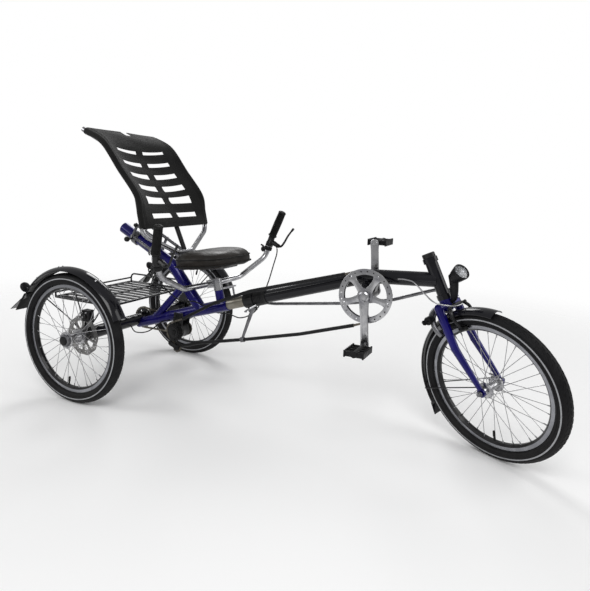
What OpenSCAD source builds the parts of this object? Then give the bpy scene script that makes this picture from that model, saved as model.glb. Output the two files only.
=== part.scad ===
// Recumbent trike: two wheels behind, one steered wheel in front, handlebar under the seat.
// +X forward, +Y to the rider's left, +Z up, origin at the middle of the ground box.

/* [Wheels] */
// Outer radius of the tyres
tyre_r = 253; // [235:1:300]
// Radius of a tyre's round section
tyre_section_r = 24.5; // [18:0.5:28]
// Outer radius of the rims
rim_r = 209.5; // [200:0.5:212]
// Half the width of a rim
rim_half_w = 12; // [10:0.5:14]
// Thickness of a spoke
spoke_d = 2; // [1.8:0.1:2.6]
// Spokes in a wheel, a multiple of four
spoke_count = 36; // [28:4:36]
// Distance between the rear wheels' middle planes
track = 745.5; // [700:0.5:800]
// Distance from the rear axle to the front axle with the wheel straight
wheelbase = 1464; // [1400:1:1560]

/* [Steering] */
// Angle of the steering axis above the horizontal
head_angle = 64.6; // [62:0.1:72]
// Distance of the front axle in front of the steering axis
fork_offset = 45; // [35:1:55]
// Angle at which the front wheel is parked, negative to the right
steer = -30; // [-35:1:35]
// Turn of the handlebar for each degree of the fork
steer_ratio = 0.533; // [0.5:0.001:0.6]
// Distance of the fork arm's pin from the steering axis
fork_lever = 45; // [40:1:50]
// Distance of the handlebar arm's pin from the handlebar pivot
bar_lever = 79; // [76:1:84]

/* [Frame] */
// Slope of the main tube and boom
boom_slope = 17.2; // [16:0.1:18.5]
// Height of the main tube's line above the rear axle's plumb line
line_z = 236.2; // [228:0.1:244]
// Diameter of the main tube at its front end
main_d = 50; // [46:1:54]
// Diameter of the main tube at its rear end
main_rear_d = 42; // [38:1:46]
// Diameter of the sliding inner tube
inner_d = 44; // [40:1:46]
// Diameter of the boom
boom_d = 49; // [47:1:54]
// Diameter of the seat tube
seat_tube_d = 48; // [44:1:52]
// Wall of the seat tube at its open end
seat_tube_wall = 2.5; // [2:0.5:4]
// Diameter of the rear axle beam
beam_d = 50; // [46:1:56]

/* [Cranks] */
// Height of the bottom bracket
crank_z = 494.3; // [485:0.1:505]
// Length of a crank
crank_len = 170; // [165:1:175]
// Radius at the tips of the chainring's teeth
chainring_r = 91; // [85:1:96]
// Lean of the left crank from straight up, negative to the rear
crank_lean = -4.7; // [-10:0.1:10]

/* [Seat] */
// Half the width of the cushion
cushion_half_w = 165; // [150:1:185]
// Half the length of the cushion
cushion_half_l = 115; // [105:1:125]
// Thickness of the cushion
cushion_t = 56; // [45:1:60]
// Half the width between the backrest tubes
back_half_w = 205; // [190:1:215]
// Diameter of the backrest tube
back_tube_d = 20; // [18:1:22]
// Thickness of the backrest fabric
fabric_t = 3; // [2:0.5:4]

/* [Rack and mudguards] */
// Length of the rack deck
rack_l = 310; // [280:1:330]
// Width of the rack deck
rack_w = 460; // [400:1:500]
// Height of the rack deck's top face
rack_z = 366; // [355:1:380]
// Diameter of the mounting holes in the rack plate
rack_hole_d = 6.5; // [5:0.1:8]
// Gap between a tyre and its mudguard
guard_gap = 22; // [10:1:26]
// Width of the rear mudguards
guard_w = 62; // [58:1:68]

/* [Hidden] */
$fn = 48;
gap = 0.3; // clearance between pieces that meet
wall = 2;

// Every node, one body after another

// ---- general shapes ----
function unit(v) = v / norm(v);
function mix(a, b, t) = a + (b - a) * t;

// Round bar from a to b, as thick at b as r2 says
module bar(a, b, r, r2 = undef) {
    d = b - a;
    translate(a) rotate([0, acos(d.z / norm(d)), atan2(d.y, d.x)])
        cylinder(h = norm(d), r1 = r, r2 = is_undef(r2) ? r : r2);
}

// A frame with its X along x, its Z along z and its origin at o
module placed(o, x, z) {
    y = cross(z, x);
    multmatrix([[x.x, y.x, z.x, o.x], [x.y, y.y, z.y, o.y], [x.z, y.z, z.z, o.z], [0, 0, 0, 1]])
        children();
}

// Round tube along points, with bends of radius bend that reach a little into the straights
bend_step = 0.1;
function corner_turn(p, i) = acos(max(-1, min(1, unit(p[i] - p[i - 1]) * unit(p[i + 1] - p[i]))));
function corner_cut(p, i, bend) =
    (i <= 0 || i >= len(p) - 1) ? 0 : bend * tan(corner_turn(p, i) / 2);
module bent_tube(p, r, bend) {
    for (i = [0 : len(p) - 2]) {
        d = unit(p[i + 1] - p[i]);
        bar(p[i] + d * corner_cut(p, i, bend), p[i + 1] - d * corner_cut(p, i + 1, bend), r);
    }
    for (i = [1 : 1 : len(p) - 2]) {
        u = unit(p[i] - p[i - 1]);
        v = unit(p[i + 1] - p[i]);
        turn = corner_turn(p, i);
        c = p[i] + unit(v - u) * bend / cos(turn / 2);
        x = unit(p[i] - u * bend * tan(turn / 2) - c);
        lap = asin(min(0.5, 1 / bend));
        placed(c, x, cross(x, u)) rotate([0, 0, -lap]) rotate_extrude(angle = turn + 2 * lap)
            translate([bend, 0]) circle(r - bend_step);
    }
}

// Disc across the Y axis
module disc(r, w, y = 0) {
    translate([0, y + w / 2, 0]) rotate([90, 0, 0]) cylinder(h = w, r = r);
}

// Flat plate in the XZ plane from an outline, w thick, its middle at y
module plate(outline, w, y = 0) {
    translate([0, y + w / 2, 0]) rotate([90, 0, 0]) linear_extrude(w) polygon(outline);
}

// ---- places ----
// A point on the line of the main tube, off the line by up
function on_line(x, up = 0) = [x, 0, line_z + x * tan(boom_slope) + up];
// A point beside the line at angle a round it, from the left side upwards
function beside(x, a, r) = on_line(x) + r * (cos(a) * [0, 1, 0] + sin(a) * line_up);
line_dir = [cos(boom_slope), 0, sin(boom_slope)];
line_up = [-sin(boom_slope), 0, cos(boom_slope)];
main_front_x = 466;
clamp_rear_x = 545;
clamp_front_x = 640;
boom_bend_x = 1030;

axle_z = tyre_r;
// Fork frame: Z up the steering axis, X forward, the straight front axle at [fork_offset, 0, 0]
lean_back = 90 - head_angle;
tyre_mid_r = tyre_r - tyre_section_r;
tyre_drop = tyre_mid_r * sqrt(1 - pow(sin(steer) * sin(lean_back), 2)) + tyre_section_r;
foot_z = tyre_drop - fork_offset * cos(steer) * sin(lean_back);
foot_x = wheelbase - fork_offset * cos(lean_back);
head_bottom = 316;
head_top = 440;
head_bore_r = 14.8;
steerer_r = 14.4;
module fork_frame() { translate([foot_x, 0, foot_z]) rotate([0, -lean_back, 0]) children(); }
module steered() { fork_frame() rotate([0, 0, steer]) children(); }
function in_fork(p) = let (x = p.x * cos(steer) - p.y * sin(steer), y = p.x * sin(steer) + p.y * cos(steer))
    [foot_x + x * cos(lean_back) - p.z * sin(lean_back), y, foot_z + x * sin(lean_back) + p.z * cos(lean_back)];

// Handlebar frame: Z up the pivot axis
bar_pivot = [420, 0, 420];
bar_lean = 13;
bar_turn = steer * steer_ratio;
module bar_frame() { translate(bar_pivot) rotate([0, -bar_lean, 0]) rotate([0, 0, bar_turn]) children(); }
function in_bar(p) = let (x = p.x * cos(bar_turn) - p.y * sin(bar_turn),
        y = p.x * sin(bar_turn) + p.y * cos(bar_turn))
    bar_pivot + [x * cos(bar_lean) - p.z * sin(bar_lean), y, x * sin(bar_lean) + p.z * cos(bar_lean)];

crank_x = 1040;
crank_axis = [crank_x, 0, crank_z];
chain_y = -50;
crank_up = [sin(crank_lean), 0, cos(crank_lean)];

drive_axis = [228, 0, 238];
cassette_r = 38;
cassette_y = -36;
jockey_low = [232, 0, 166];

seat_top = [-77, 0, 652];
seat_bend = [185, 0, 516];
seat_foot = [335, 0, line_z + 335 * tan(boom_slope)];
seat_dir = unit(seat_bend - seat_top);
seat_lean = atan2(-seat_dir.z, seat_dir.x);
cushion_at = [396, 0, 527];
cushion_tilt = 6;

guard_r = tyre_r + guard_gap;
tail_x = 316;

// The whole length runs from the rear flap to the front tyre
front_axle = in_fork([fork_offset, 0, 0]);
front_reach = tyre_mid_r * sqrt(1 - pow(sin(steer) * cos(lean_back), 2)) + tyre_section_r;
mid_x = (front_axle.x + front_reach - tail_x) / 2;
module on_ground() { translate([-mid_x, 0, 0]) children(); }

// ---- frame ----
module main_tube_solid(extra = 0) {
    bar(on_line(0), on_line(main_front_x), main_rear_d / 2 + extra, main_d / 2 + extra);
}
module beam_solid(extra = 0) { translate([0, 0, axle_z]) disc(beam_d / 2 + extra, 2 * beam_half); }
beam_half = track / 2 - 70;

bar_pin_r = 10;
post_top = 12;
module main_tube() {
    color("midnightblue") difference() {
        union() {
            main_tube_solid();
            bar_frame() translate([0, 0, -40]) cylinder(h = 40 + post_top, r = 17);
        }
        bar_frame() translate([0, 0, -18]) cylinder(h = 60, r = bar_pin_r + gap);
        beam_solid(gap);
        bar(on_line(main_front_x - 60), on_line(main_front_x + 10), inner_d / 2 + gap);
    }
}

module seat_tube_solid(extra = 0) {
    bent_tube([seat_top, seat_bend, seat_foot], seat_tube_d / 2 + extra, 110);
}
module seat_tube() {
    color("midnightblue") difference() {
        seat_tube_solid();
        main_tube_solid(gap);
        bar(seat_top - seat_dir * 5, seat_top + seat_dir * 60, seat_tube_d / 2 - seat_tube_wall);
    }
}

module frame_brace() {
    color("midnightblue") difference() {
        bar([85, 0, 262], [251, 0, 438], 16);
        main_tube_solid(gap);
        seat_tube_solid(gap);
    }
}

stub_r = 10;
stub_end = track / 2 + 26;
module rear_axle() {
    color([0.07, 0.07, 0.08]) {
        beam_solid();
        translate([0, 0, axle_z]) {
            disc(16, 2 * beam_half + 26);
            disc(stub_r, 2 * stub_end);
            // plates that carry the brake calipers
            for (s = [-1, 1])
                plate([[-14, -10], [14, -10], [40, 62], [40, 104], [12, 104], [-6, 60]], 5, s * beam_half);
        }
    }
}

module boom_inner() {
    color([0.55, 0.54, 0.5])
        bar(on_line(main_front_x - 59), on_line(clamp_front_x + 60), inner_d / 2);
}

module boom_clamp() {
    color([0.05, 0.05, 0.05]) {
        difference() {
            union() {
                bar(on_line(clamp_rear_x), on_line(clamp_rear_x + 40), boom_d / 2 + 5);
                placed(on_line(clamp_rear_x + 20), line_dir, line_up)
                    translate([-16, -8, -boom_d / 2 - 20]) cube([32, 16, 24]);
            }
            bar(on_line(clamp_rear_x - 5), on_line(clamp_rear_x + 45), boom_d / 2 + gap);
            placed(on_line(clamp_rear_x + 20), line_dir, line_up)
                translate([-20, -1, -boom_d / 2 - 24]) cube([40, 2, 30]);
        }
    }
}

// Boom with the bottom bracket shell below it and the head tube at its front
module boom() {
    boom_bend = on_line(boom_bend_x);
    boom_end = [1262, 0, 567];
    color([0.05, 0.05, 0.06]) difference() {
        union() {
            bent_tube([on_line(clamp_rear_x + 0.5), boom_bend, boom_end], boom_d / 2, 160);
            fork_frame() translate([0, 0, head_bottom]) cylinder(h = head_top - head_bottom, r = 20);
            fork_frame() translate([0, 0, head_bottom - 9]) cylinder(h = 16, r = 24);
            fork_frame() translate([0, 0, head_top - 7]) cylinder(h = 16, r = 24);
            translate(crank_axis) disc(21, 68);
            // bracket from the boom to the shell
            plate([[crank_x - 42, crank_z + 60], [crank_x + 34, crank_z + 66], [crank_x + 18, crank_z + 4],
                [crank_x - 18, crank_z + 4]], 30);
        }
        bar(on_line(clamp_rear_x - 10), on_line(clamp_front_x + 80), inner_d / 2 + gap);
        fork_frame() translate([0, 0, head_bottom - 30]) cylinder(h = head_top - head_bottom + 60, r = head_bore_r);
        translate(crank_axis) disc(12.5 + gap, 80);
        translate(crank_axis) disc(17.3, 10, -34);
        translate(crank_axis) disc(17.3, 10, 34);
    }
}

// ---- chain and drive ----
lower_run = [[1004, chain_y, 386], [804, chain_y, 323], [587, chain_y, 268], [363, -46, 215], [262, -40, 182]];
upper_run = [[962, chain_y, 561], [590, -52, 457], [420, -48, 385], [270, -40, 300]];
chain_tube_r = 6.5;
module chain_run_tube(p) {
    difference() {
        bent_tube(p, chain_tube_r, 400);
        for (e = [[p[0], p[1]], [p[len(p) - 1], p[len(p) - 2]]])
            bar(e[0] - unit(e[1] - e[0]) * 2, e[0] + unit(e[1] - e[0]) * 12, chain_tube_r - 1.5);
    }
}
module chain_tubes() {
    color([0.1, 0.1, 0.11]) {
        chain_run_tube(lower_run);
        chain_run_tube(upper_run);
    }
}

module chain_strut() {
    strut_top = [592, -27, 388];
    strut_foot = [562, chain_y, 268];
    color([0.5, 0.5, 0.52]) {
        difference() {
            bar(strut_top, strut_foot, 8, 5);
            bar(on_line(540), on_line(660), boom_d / 2 + 5 + gap);
            translate([0, 0, 0]) bent_tube(lower_run, chain_tube_r + gap, 400);
        }
        difference() {
            placed(mix(lower_run[2], lower_run[3], 0.11), unit(lower_run[3] - lower_run[2]), [0, 1, 0])
                rotate([0, 90, 0]) translate([0, 0, -8]) cylinder(h = 16, r = chain_tube_r + 3.5);
            bent_tube(lower_run, chain_tube_r + gap, 400);
        }
    }
}

// Belt that leaves start, turns round each circle in turn and ends at finish; a circle is
// [centre x, centre z, radius, 1 for left-hand or -1 for right-hand]
chain_h = 6.5;
chain_w = 7;
function belt_dir(a, b) = let (d = [b[0] - a[0], b[1] - a[1]])
    atan2(d.y, d.x) - asin((b[3] * b[2] - a[3] * a[2]) / norm(d));
function belt_off(c, t) = [c[0] + c[3] * c[2] * sin(t), c[1] - c[3] * c[2] * cos(t)];
module belt(c, closed = false) {
    n = len(c);
    for (i = [0 : closed ? n - 1 : n - 2]) {
        a = c[i];
        b = c[(i + 1) % n];
        t = belt_dir(a, b);
        p = belt_off(a, t);
        q = belt_off(b, t);
        translate([p.x, chain_w / 2, p.y]) rotate([90, -t, 0]) rotate([-90, 0, 0])
            translate([0, -chain_w, -chain_h / 2]) cube([norm(q - p), chain_w, chain_h]);
        if (i < n - 2 || closed) {
            next = belt_dir(b, c[(i + 2) % n]);
            sweep_by = b[3] > 0 ? (next - t + 720) % 360 : (t - next + 720) % 360;
            from = b[3] > 0 ? t - 90 : next + 90;
            lap = asin(0.8 / b[2]);
            translate([b[0], chain_w / 2, b[1]]) rotate([90, 0, 0]) rotate([0, 0, from - lap])
                rotate_extrude(angle = sweep_by + 2 * lap)
                    translate([b[2] - chain_h / 2 + bend_step, bend_step])
                        square([chain_h - 2 * bend_step, chain_w - 2 * bend_step]);
        }
    }
}

upper_jockey = [206, 186];
lower_jockey = [238, 170];
jockey_r = 11;
axle_sprocket_r = 42;
mid_sprocket_r = 24;
left_chain_y = 36;
function mouth(p, q) = let (d = unit(p - q)) [p.x + d.x * 0.5, p.z + d.z * 0.5, 0, 1];
module drive_chain() {
    color([0.35, 0.33, 0.3]) {
        translate([0, chain_y, 0]) belt([mouth(lower_run[0], lower_run[1]),
            [crank_x, crank_z, chainring_r + gap + chain_h / 2, 1], mouth(upper_run[0], upper_run[1])]);
        translate([0, cassette_y, 0]) belt([mouth(upper_run[3], upper_run[2]),
            [drive_axis.x, drive_axis.z, cassette_r + gap + chain_h / 2, 1],
            [upper_jockey.x, upper_jockey.y, jockey_r + gap + chain_h / 2, -1],
            [lower_jockey.x, lower_jockey.y, jockey_r + gap + chain_h / 2, 1],
            mouth(lower_run[4], lower_run[3])]);
        translate([0, left_chain_y, 0]) belt([[drive_axis.x, drive_axis.z, mid_sprocket_r + gap + chain_h / 2, 1],
            [0, axle_z, axle_sprocket_r + gap + chain_h / 2, 1]], true);
    }
}

// Gear hub below the main tube, its cogs on the right, its output sprocket on the left
module mid_drive() {
    color([0.12, 0.12, 0.13]) {
        translate(drive_axis) {
            disc(30, 40);
            disc(7, 110);
            disc(22, 16, cassette_y - 6);
            for (i = [0 : 3]) disc(cassette_r - 4 * i, 2, cassette_y - 3.5 * i);
            disc(mid_sprocket_r, 3, left_chain_y);
        }
        plate([[196, 178], [214, 176], [251, 225], [262, 318], [215, 318], [205, 240]], 4, -25.8);
        plate([[212, 224], [244, 224], [262, 318], [215, 318]], 4, 25.8);
        translate([0, 0, axle_z]) difference() {
            disc(axle_sprocket_r, 3, left_chain_y);
            disc(beam_d / 2 + gap, 5, left_chain_y);
        }
    }
}

module derailleur() {
    color([0.1, 0.1, 0.1]) {
        for (j = [upper_jockey, lower_jockey]) translate([j.x, 0, j.y]) {
            disc(jockey_r, 3, cassette_y);
            disc(3, 16, cassette_y);
        }
        for (y = [cassette_y - 7, cassette_y + 6.7])
            plate([upper_jockey + [-10, 0], upper_jockey + [2, 10], lower_jockey + [11, 4],
                lower_jockey + [8, -11], lower_jockey + [-6, -10]], 2, y);
    }
}

// ---- rear mudguards, rack, lamps ----
guard_front = 24;
guard_rear = 152;
module guard_section(w) {
    intersection() {
        translate([guard_r + wall - 45, 0]) difference() { circle(45); circle(45 - wall); }
        translate([guard_r - 30, -w / 2]) square([60, w]);
    }
}
module guard_arc(w, from, to) {
    rotate([90, 0, 0]) rotate([0, 0, from]) rotate_extrude(angle = to - from) guard_section(w);
}
module rear_guard(s) {
    rim_point = [(guard_r + 1) * cos(guard_rear), (guard_r + 1) * sin(guard_rear)];
    tip = [-tail_x + 1.2, 77];
    translate([0, s * track / 2, axle_z]) {
        guard_arc(guard_w, guard_front, guard_rear);
        plate([rim_point, rim_point + [-2.6, 1.6], tip + [-1.2, 1.6], tip], guard_w * 0.8);
    }
    // stays from the caliper plate to the inner side of the guard
    for (a = [50, 100, 145])
        bent_tube([for (q = [[16 + gap, beam_half + 9], [110, beam_half + 12], [guard_r - 7, track / 2 - guard_w / 2 + 1.5]])
            [q[0] * cos(a), s * q[1], axle_z + q[0] * sin(a)]], 2.5, 20);
}
module mudguard_right() { color([0.03, 0.03, 0.03]) rear_guard(-1); }
module mudguard_left() { color([0.03, 0.03, 0.03]) rear_guard(1); }

lamp_angle = 146;
module tail_lamps() {
    color([0.35, 0.02, 0.02]) for (s = [-1, 1])
        translate([(guard_r + wall + gap) * cos(lamp_angle), s * track / 2,
            axle_z + (guard_r + wall + gap) * sin(lamp_angle)]) rotate([0, -lamp_angle + 90, 0]) {
            translate([6, 0, 24]) rotate([0, -60, 0]) cylinder(h = 18, r = 20);
            cylinder(h = 24, r = 5);
        }
}

rack_front = 60;
rack_tube_r = 5;
slat_count = 11;
leg_y = 3 * rack_w / slat_count;
module rack() {
    color([0.04, 0.04, 0.04]) difference() {
        union() {
            z = rack_z - rack_tube_r;
            x0 = rack_front - rack_l;
            for (x = [x0, rack_front - rack_l / 2, rack_front])
                bar([x, -rack_w / 2, z], [x, rack_w / 2, z], rack_tube_r);
            for (s = [-1, 1]) {
                bar([x0, s * rack_w / 2, z], [rack_front, s * rack_w / 2, z], rack_tube_r);
                bent_tube([[rack_front, s * rack_w / 2, z], [rack_front, s * rack_w / 2, z + 40],
                    [x0, s * rack_w / 2, z + 40], [x0, s * rack_w / 2, z]], 4, 22);
                bar([0, s * leg_y, z + 3], [0, s * leg_y, axle_z + beam_d / 2 - 4], 7);
            }
            bar([x0, -rack_w / 2, z + 20], [x0, rack_w / 2, z + 20], 4);
            for (i = [0 : slat_count - 1])
                translate([x0, (i - (slat_count - 1) / 2) * rack_w / slat_count - 10, rack_z - 4])
                    cube([rack_l, 20, 4]);
        }
        beam_solid(gap);
        for (x = [-1, 1], y = [-1, 1])
            translate([rack_front - rack_l / 2 + 100 * x, 2 * rack_w / slat_count * y, rack_z - 12])
                cylinder(h = 24, d = rack_hole_d);
    }
}

module rear_brakes() {
    color([0.15, 0.15, 0.16]) for (s = [-1, 1]) translate([26, s * (track / 2 - 52), axle_z + 84]) {
        for (y = [2.2, -15.2]) translate([-17, y, -22]) cube([34, 13, 42]);
        translate([-17, -15.2, 12]) cube([34, 30.4, 12]);
    }
}

// Cables tied along the frame, with their slack loops
cable_r = 2.5;
cable_off = cable_r + gap;
function main_r(x) = (main_rear_d + (main_d - main_rear_d) * x / main_front_x) / 2;
module frame_cables() {
    color([0.05, 0.05, 0.05]) {
        bent_tube([beside(270, -35, main_r(270) + cable_off), beside(340, -35, main_r(340) + cable_off),
            [440, 34, 330], [500, 36, 322], [560, 36, 352],
            beside(612, -20, boom_d / 2 + cable_off), beside(670, -20, boom_d / 2 + cable_off)], cable_r, 22);
        bent_tube([[-10, -40, axle_z - sqrt(pow(beam_d / 2 + cable_off, 2) - 100)], [16, -39, 204], [80, -34, 216],
            beside(140, -140, main_r(140) + cable_off), beside(180, -140, main_r(180) + cable_off)], cable_r, 22);
    }
}

// ---- handlebar ----
bar_path = [[-30, 0, 41], [-28, 150, 45], [18, 275, 110], [54, 300, 189], [118, 313, 274]];
bar_tube_r = 11;
grip_r = 16;
arm_pin = [-2.4, bar_lever, -36];
function side(p, s) = [p.x, s * p.y, p.z];
grip_start = mix(bar_path[3], bar_path[4], 0.04);
module bar_side(s, extra = 0) { bent_tube([for (q = bar_path) side(q, s)], bar_tube_r + extra, 60); }
module handlebar() {
    color([0.6, 0.6, 0.6]) bar_frame() {
        for (s = [-1, 1]) difference() {
            bar_side(s);
            translate([-100, s > 0 ? -100 : 0, -100]) cube([200, 100, 300]);
        }
        // stem and its pin in the post
        translate([0, 0, post_top + gap]) cylinder(h = 46, r = 18);
        translate([-44, -20, 26]) cube([44, 40, 32]);
        translate([0, 0, -16]) cylinder(h = 40, r = bar_pin_r);
        // arm that drives the steering rod
        translate([-9, 0, post_top + gap]) cube([18, bar_lever + 9, 6]);
        translate(arm_pin - [0, 0, 8]) cylinder(h = post_top + 12 - arm_pin.z, r = 4);
    }
}

module grips() {
    color([0.06, 0.06, 0.06]) bar_frame() for (s = [-1, 1]) {
        a = side(grip_start, s);
        b = side(bar_path[4], s);
        d = unit(b - a);
        difference() {
            union() {
                bar(a + d * 4, b + d * 14, grip_r);
                bar(a, a + d * 5, grip_r + 2);
            }
            bar(a - d, b + d * 0.3, bar_tube_r + gap);
        }
    }
}

// Clamp on the tube below the grip, lever body and blade
lever_drop = 34;
function clamp_at(s, drop) = let (a = side(bar_path[3], s)) a - unit(a - side(bar_path[2], s)) * drop;
function lever_clamp(s) = clamp_at(s, lever_drop);
function shifter_clamp(s) = clamp_at(s, lever_drop + 18);
module brake_levers() {
    color([0.2, 0.2, 0.21]) bar_frame() for (s = [-1, 1]) {
        a = side(bar_path[3], s);
        d = unit(side(bar_path[3], s) - side(bar_path[2], s));
        c = a - d * lever_drop;
        difference() {
            union() {
                bar(c - d * 8, c + d * 8, bar_tube_r + 5);
                bar(c, c + [46, 0, -14], 7);
                bent_tube([c + [46, 0, -14], c + [72, s * 3, -12], c + [132, s * 6, 44]], 4.5, 20);
            }
            bar_side(s, gap);
        }
    }
}
module shifters() {
    color([0.08, 0.08, 0.08]) bar_frame() for (s = [-1, 1]) {
        a = side(bar_path[3], s);
        d = unit(side(bar_path[3], s) - side(bar_path[2], s));
        c = a - d * (lever_drop + 18);
        difference() {
            union() {
                bar(c - d * 8, c + d * 8, bar_tube_r + 6);
                bar(c, c + [-34, 0, 0], 10, 8);
            }
            bar_side(s, gap);
        }
    }
}

// ---- steering rod ----
fork_pin = [0, fork_lever, 324];
rod_r = 6;
rod_eye_play = 3;
module steering_rod() {
    front = in_fork(fork_pin);
    back = in_bar(arm_pin);
    along = steer_axis;
    color([0.5, 0.5, 0.52]) difference() {
        union() {
            bent_tube([front, [1250, 44, 526], [1106, 44, 472], [936, 44, 438], [640, 52, 396], back], rod_r, 120);
            bar(front - along * 8, front + along * 8, 12);
            bar(back - bar_axis * 7, back + bar_axis * 7, 11.5);
        }
        bar(front - along * 12, front + along * 12, 4 + gap);
        bar(back - bar_axis * 12, back + bar_axis * 12, 4 + rod_eye_play);
    }
}
steer_axis = [-sin(lean_back), 0, cos(lean_back)];
bar_axis = [-sin(bar_lean), 0, cos(bar_lean)];

// ---- fork ----
blade_y = 50;
front_axle_r = 5;
module fork_legs(extra = 0) {
    for (s = [-1, 1]) {
        bar([9, s * blade_y, 150], [0, s * (blade_y - 6), 292 + extra], 13 + extra, 14.5 + extra);
        sphere_at([9, s * blade_y, 150], 13.4 + extra);
        bar([9, s * blade_y, 150], [fork_offset, s * blade_y, 12 - extra], 13 + extra, 8 + extra);
        translate([fork_offset, s * blade_y, 0]) rotate([90, 0, 0])
            cylinder(h = 7 + 2 * extra, r = 14 + extra, center = true);
    }
    bar([0, -blade_y + 4 - extra, 286], [0, blade_y - 4 + extra, 286], 15 + extra);
    translate([0, 0, 270 - extra]) cylinder(h = 36.7 + extra, r = 22 + extra);
}
module fork() {
    color("midnightblue") steered() {
        union() {
            fork_legs();
            translate([fork_offset, blade_y + 12, 0]) rotate([90, 0, 0]) cylinder(h = 2 * blade_y + 24, r = front_axle_r);
            translate([0, 0, 270]) cylinder(h = 190, r = steerer_r);
            translate([0, 0, head_top + 9 + gap]) cylinder(h = 14, r = 20);
            // arm that the steering rod pulls
            translate([-9, 0, 297]) cube([18, fork_lever + 9, 6]);
            translate([0, fork_lever, 298]) cylinder(h = 38, r = 4);
        }
    }
}
module sphere_at(p, r) { translate(p) sphere(r); }

module front_mudguard() {
    color([0.03, 0.03, 0.03]) steered() {
        difference() {
            translate([fork_offset, 0, 0]) {
                guard_arc_front(front_guard_w, 62, front_guard_end);
                for (s = [-1, 1])
                    bar([0, s * (blade_y - 8), 16], [-(tyre_r + 8) * cos(12), s * 27, -(tyre_r + 8) * sin(-4)], 2);
                plate([flap_root, flap_root + [-2.4, 0], flap_root + [-6, -44], flap_root + [-3.6, -44]], front_guard_w * 0.7);
            }
            fork_legs(gap);
        }
    }
}
front_guard_gap = 9;
front_guard_w = 58;
front_guard_end = 190;
flap_root = (tyre_r + front_guard_gap + 1.5) * [cos(front_guard_end), sin(front_guard_end)] + [0, 6];
module guard_arc_front(w, from, to) {
    rotate([90, 0, 0]) rotate([0, 0, from]) rotate_extrude(angle = to - from) intersection() {
        translate([tyre_r + front_guard_gap + wall - 40, 0]) difference() { circle(40); circle(40 - wall); }
        translate([tyre_r - 30, -w / 2]) square([60, w]);
    }
}

module headlight() {
    color([0.2, 0.2, 0.2]) steered() {
        difference() {
            bent_tube([[18, 0, 295], [46, 0, 305], [54, 0, 352]], 6, 16);
            fork_legs(gap);
        }
        translate([50, 0, 356]) rotate([0, 72, 0]) {
            cylinder(h = 30, r1 = 12, r2 = 21);
            translate([0, 0, 30]) cylinder(h = 7, r = 21);
        }
    }
}

lock_at = 113;
module ring_lock() {
    out = [cos(lock_at), 0, sin(lock_at)];
    color([0.25, 0.25, 0.26]) difference() {
        steered() placed([fork_offset, 0, 0] + out * tyre_mid_r, out, [-sin(lock_at), 0, cos(lock_at)]) {
            difference() {
                cylinder(h = 15, r = 63, center = true);
                cylinder(h = 20, r = 48, center = true);
                translate([-100, -100, -20]) cube([76, 200, 40]);
            }
            for (s = [-1, 1]) translate([-6, s * 52 - 6, -36]) cube([16, 12, 36]);
            translate([2, -60, 0]) rotate([90, 0, 0]) cylinder(h = 22, r = 13);
            }
            steered() fork_legs(gap);
        }
}

module front_brake() {
    color([0.6, 0.6, 0.6]) steered() difference() {
        union() {
            for (s = [-1, 1]) {
                bar([34, s * 38, 277], [42, s * 44, 236], 6);
                bar([42, s * 44, 240], [43, s * 24, 204], 5);
            }
            bar([14, 0, 282], [34, 0, 277], 6);
            bar([34, -40, 277], [34, 40, 277], 6);
        }
        fork_legs(gap);
    }
}

// ---- wheels, each about its own Y axis ----
module tyre() {
    color([0.05, 0.05, 0.05]) rotate([90, 0, 0]) rotate_extrude($fn = 96) {
        difference() {
            translate([tyre_mid_r, 0]) circle(tyre_section_r);
            translate([tyre_mid_r - 40, -40]) square([40 - (tyre_mid_r - rim_r) + gap, 80]);
        }
        translate([rim_r - 4, -(rim_half_w - 2 - gap)]) square([6, 2 * (rim_half_w - 2 - gap)]);
    }
}
rim_inner_r = 192;
module rim() {
    color([0.7, 0.7, 0.7]) rotate([90, 0, 0]) rotate_extrude($fn = 96) {
        polygon([[rim_inner_r, -5], [rim_r - 12, -rim_half_w], [rim_r, -rim_half_w], [rim_r, -rim_half_w + 2],
            [rim_r - 4 - gap, -rim_half_w + 2], [rim_r - 4 - gap, rim_half_w - 2], [rim_r, rim_half_w - 2],
            [rim_r, rim_half_w], [rim_r - 12, rim_half_w], [rim_inner_r, 5]]);
    }
}
flange_t = 3;
spoke_gap = 0.6;
// Laced two cross: each spoke starts beside its flange and ends short of the rim
module spokes(flange_r, flange_y) {
    per_side = spoke_count / 2;
    color([0.75, 0.75, 0.75]) for (s = [-1, 1], i = [0 : per_side - 1]) {
        outer = i % 2 == 0 ? 1 : -1;
        at_hub = i * 360 / per_side + (s > 0 ? 180 / per_side : 0);
        at_rim = at_hub + outer * 2 * 360 / per_side;
        y = s * (flange_y + outer * (flange_t / 2 + spoke_gap + spoke_d / 2));
        p = [flange_r * cos(at_hub), y, flange_r * sin(at_hub)];
        rim_end = [(rim_inner_r - 1.2) * cos(at_rim), s * (3.4 + outer * 1.3), (rim_inner_r - 1.2) * sin(at_rim)];
        bar(p, rim_end, spoke_d / 2);
    }
}
module hub(flange_r, flange_y, shell_r, bore_r, width) {
    rotate([90, 0, 0]) difference() {
        union() {
            cylinder(h = 2 * flange_y, r = shell_r, center = true);
            cylinder(h = width, r = bore_r + 5, center = true);
            for (s = [-1, 1]) translate([0, 0, s * flange_y]) cylinder(h = flange_t, r = flange_r + 4, center = true);
        }
        cylinder(h = width + 10, r = bore_r, center = true);
    }
}
module at_front() { steered() translate([fork_offset, 0, 0]) children(); }
module at_rear(s) { translate([0, s * track / 2, axle_z]) children(); }
front_flange_r = 22;
front_flange_y = 28;
rear_flange_r = 28;
rear_flange_y = 30;
module front_tyre() { at_front() tyre(); }
module front_rim() { at_front() rim(); }
module front_spokes() { at_front() spokes(front_flange_r, front_flange_y); }
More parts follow.
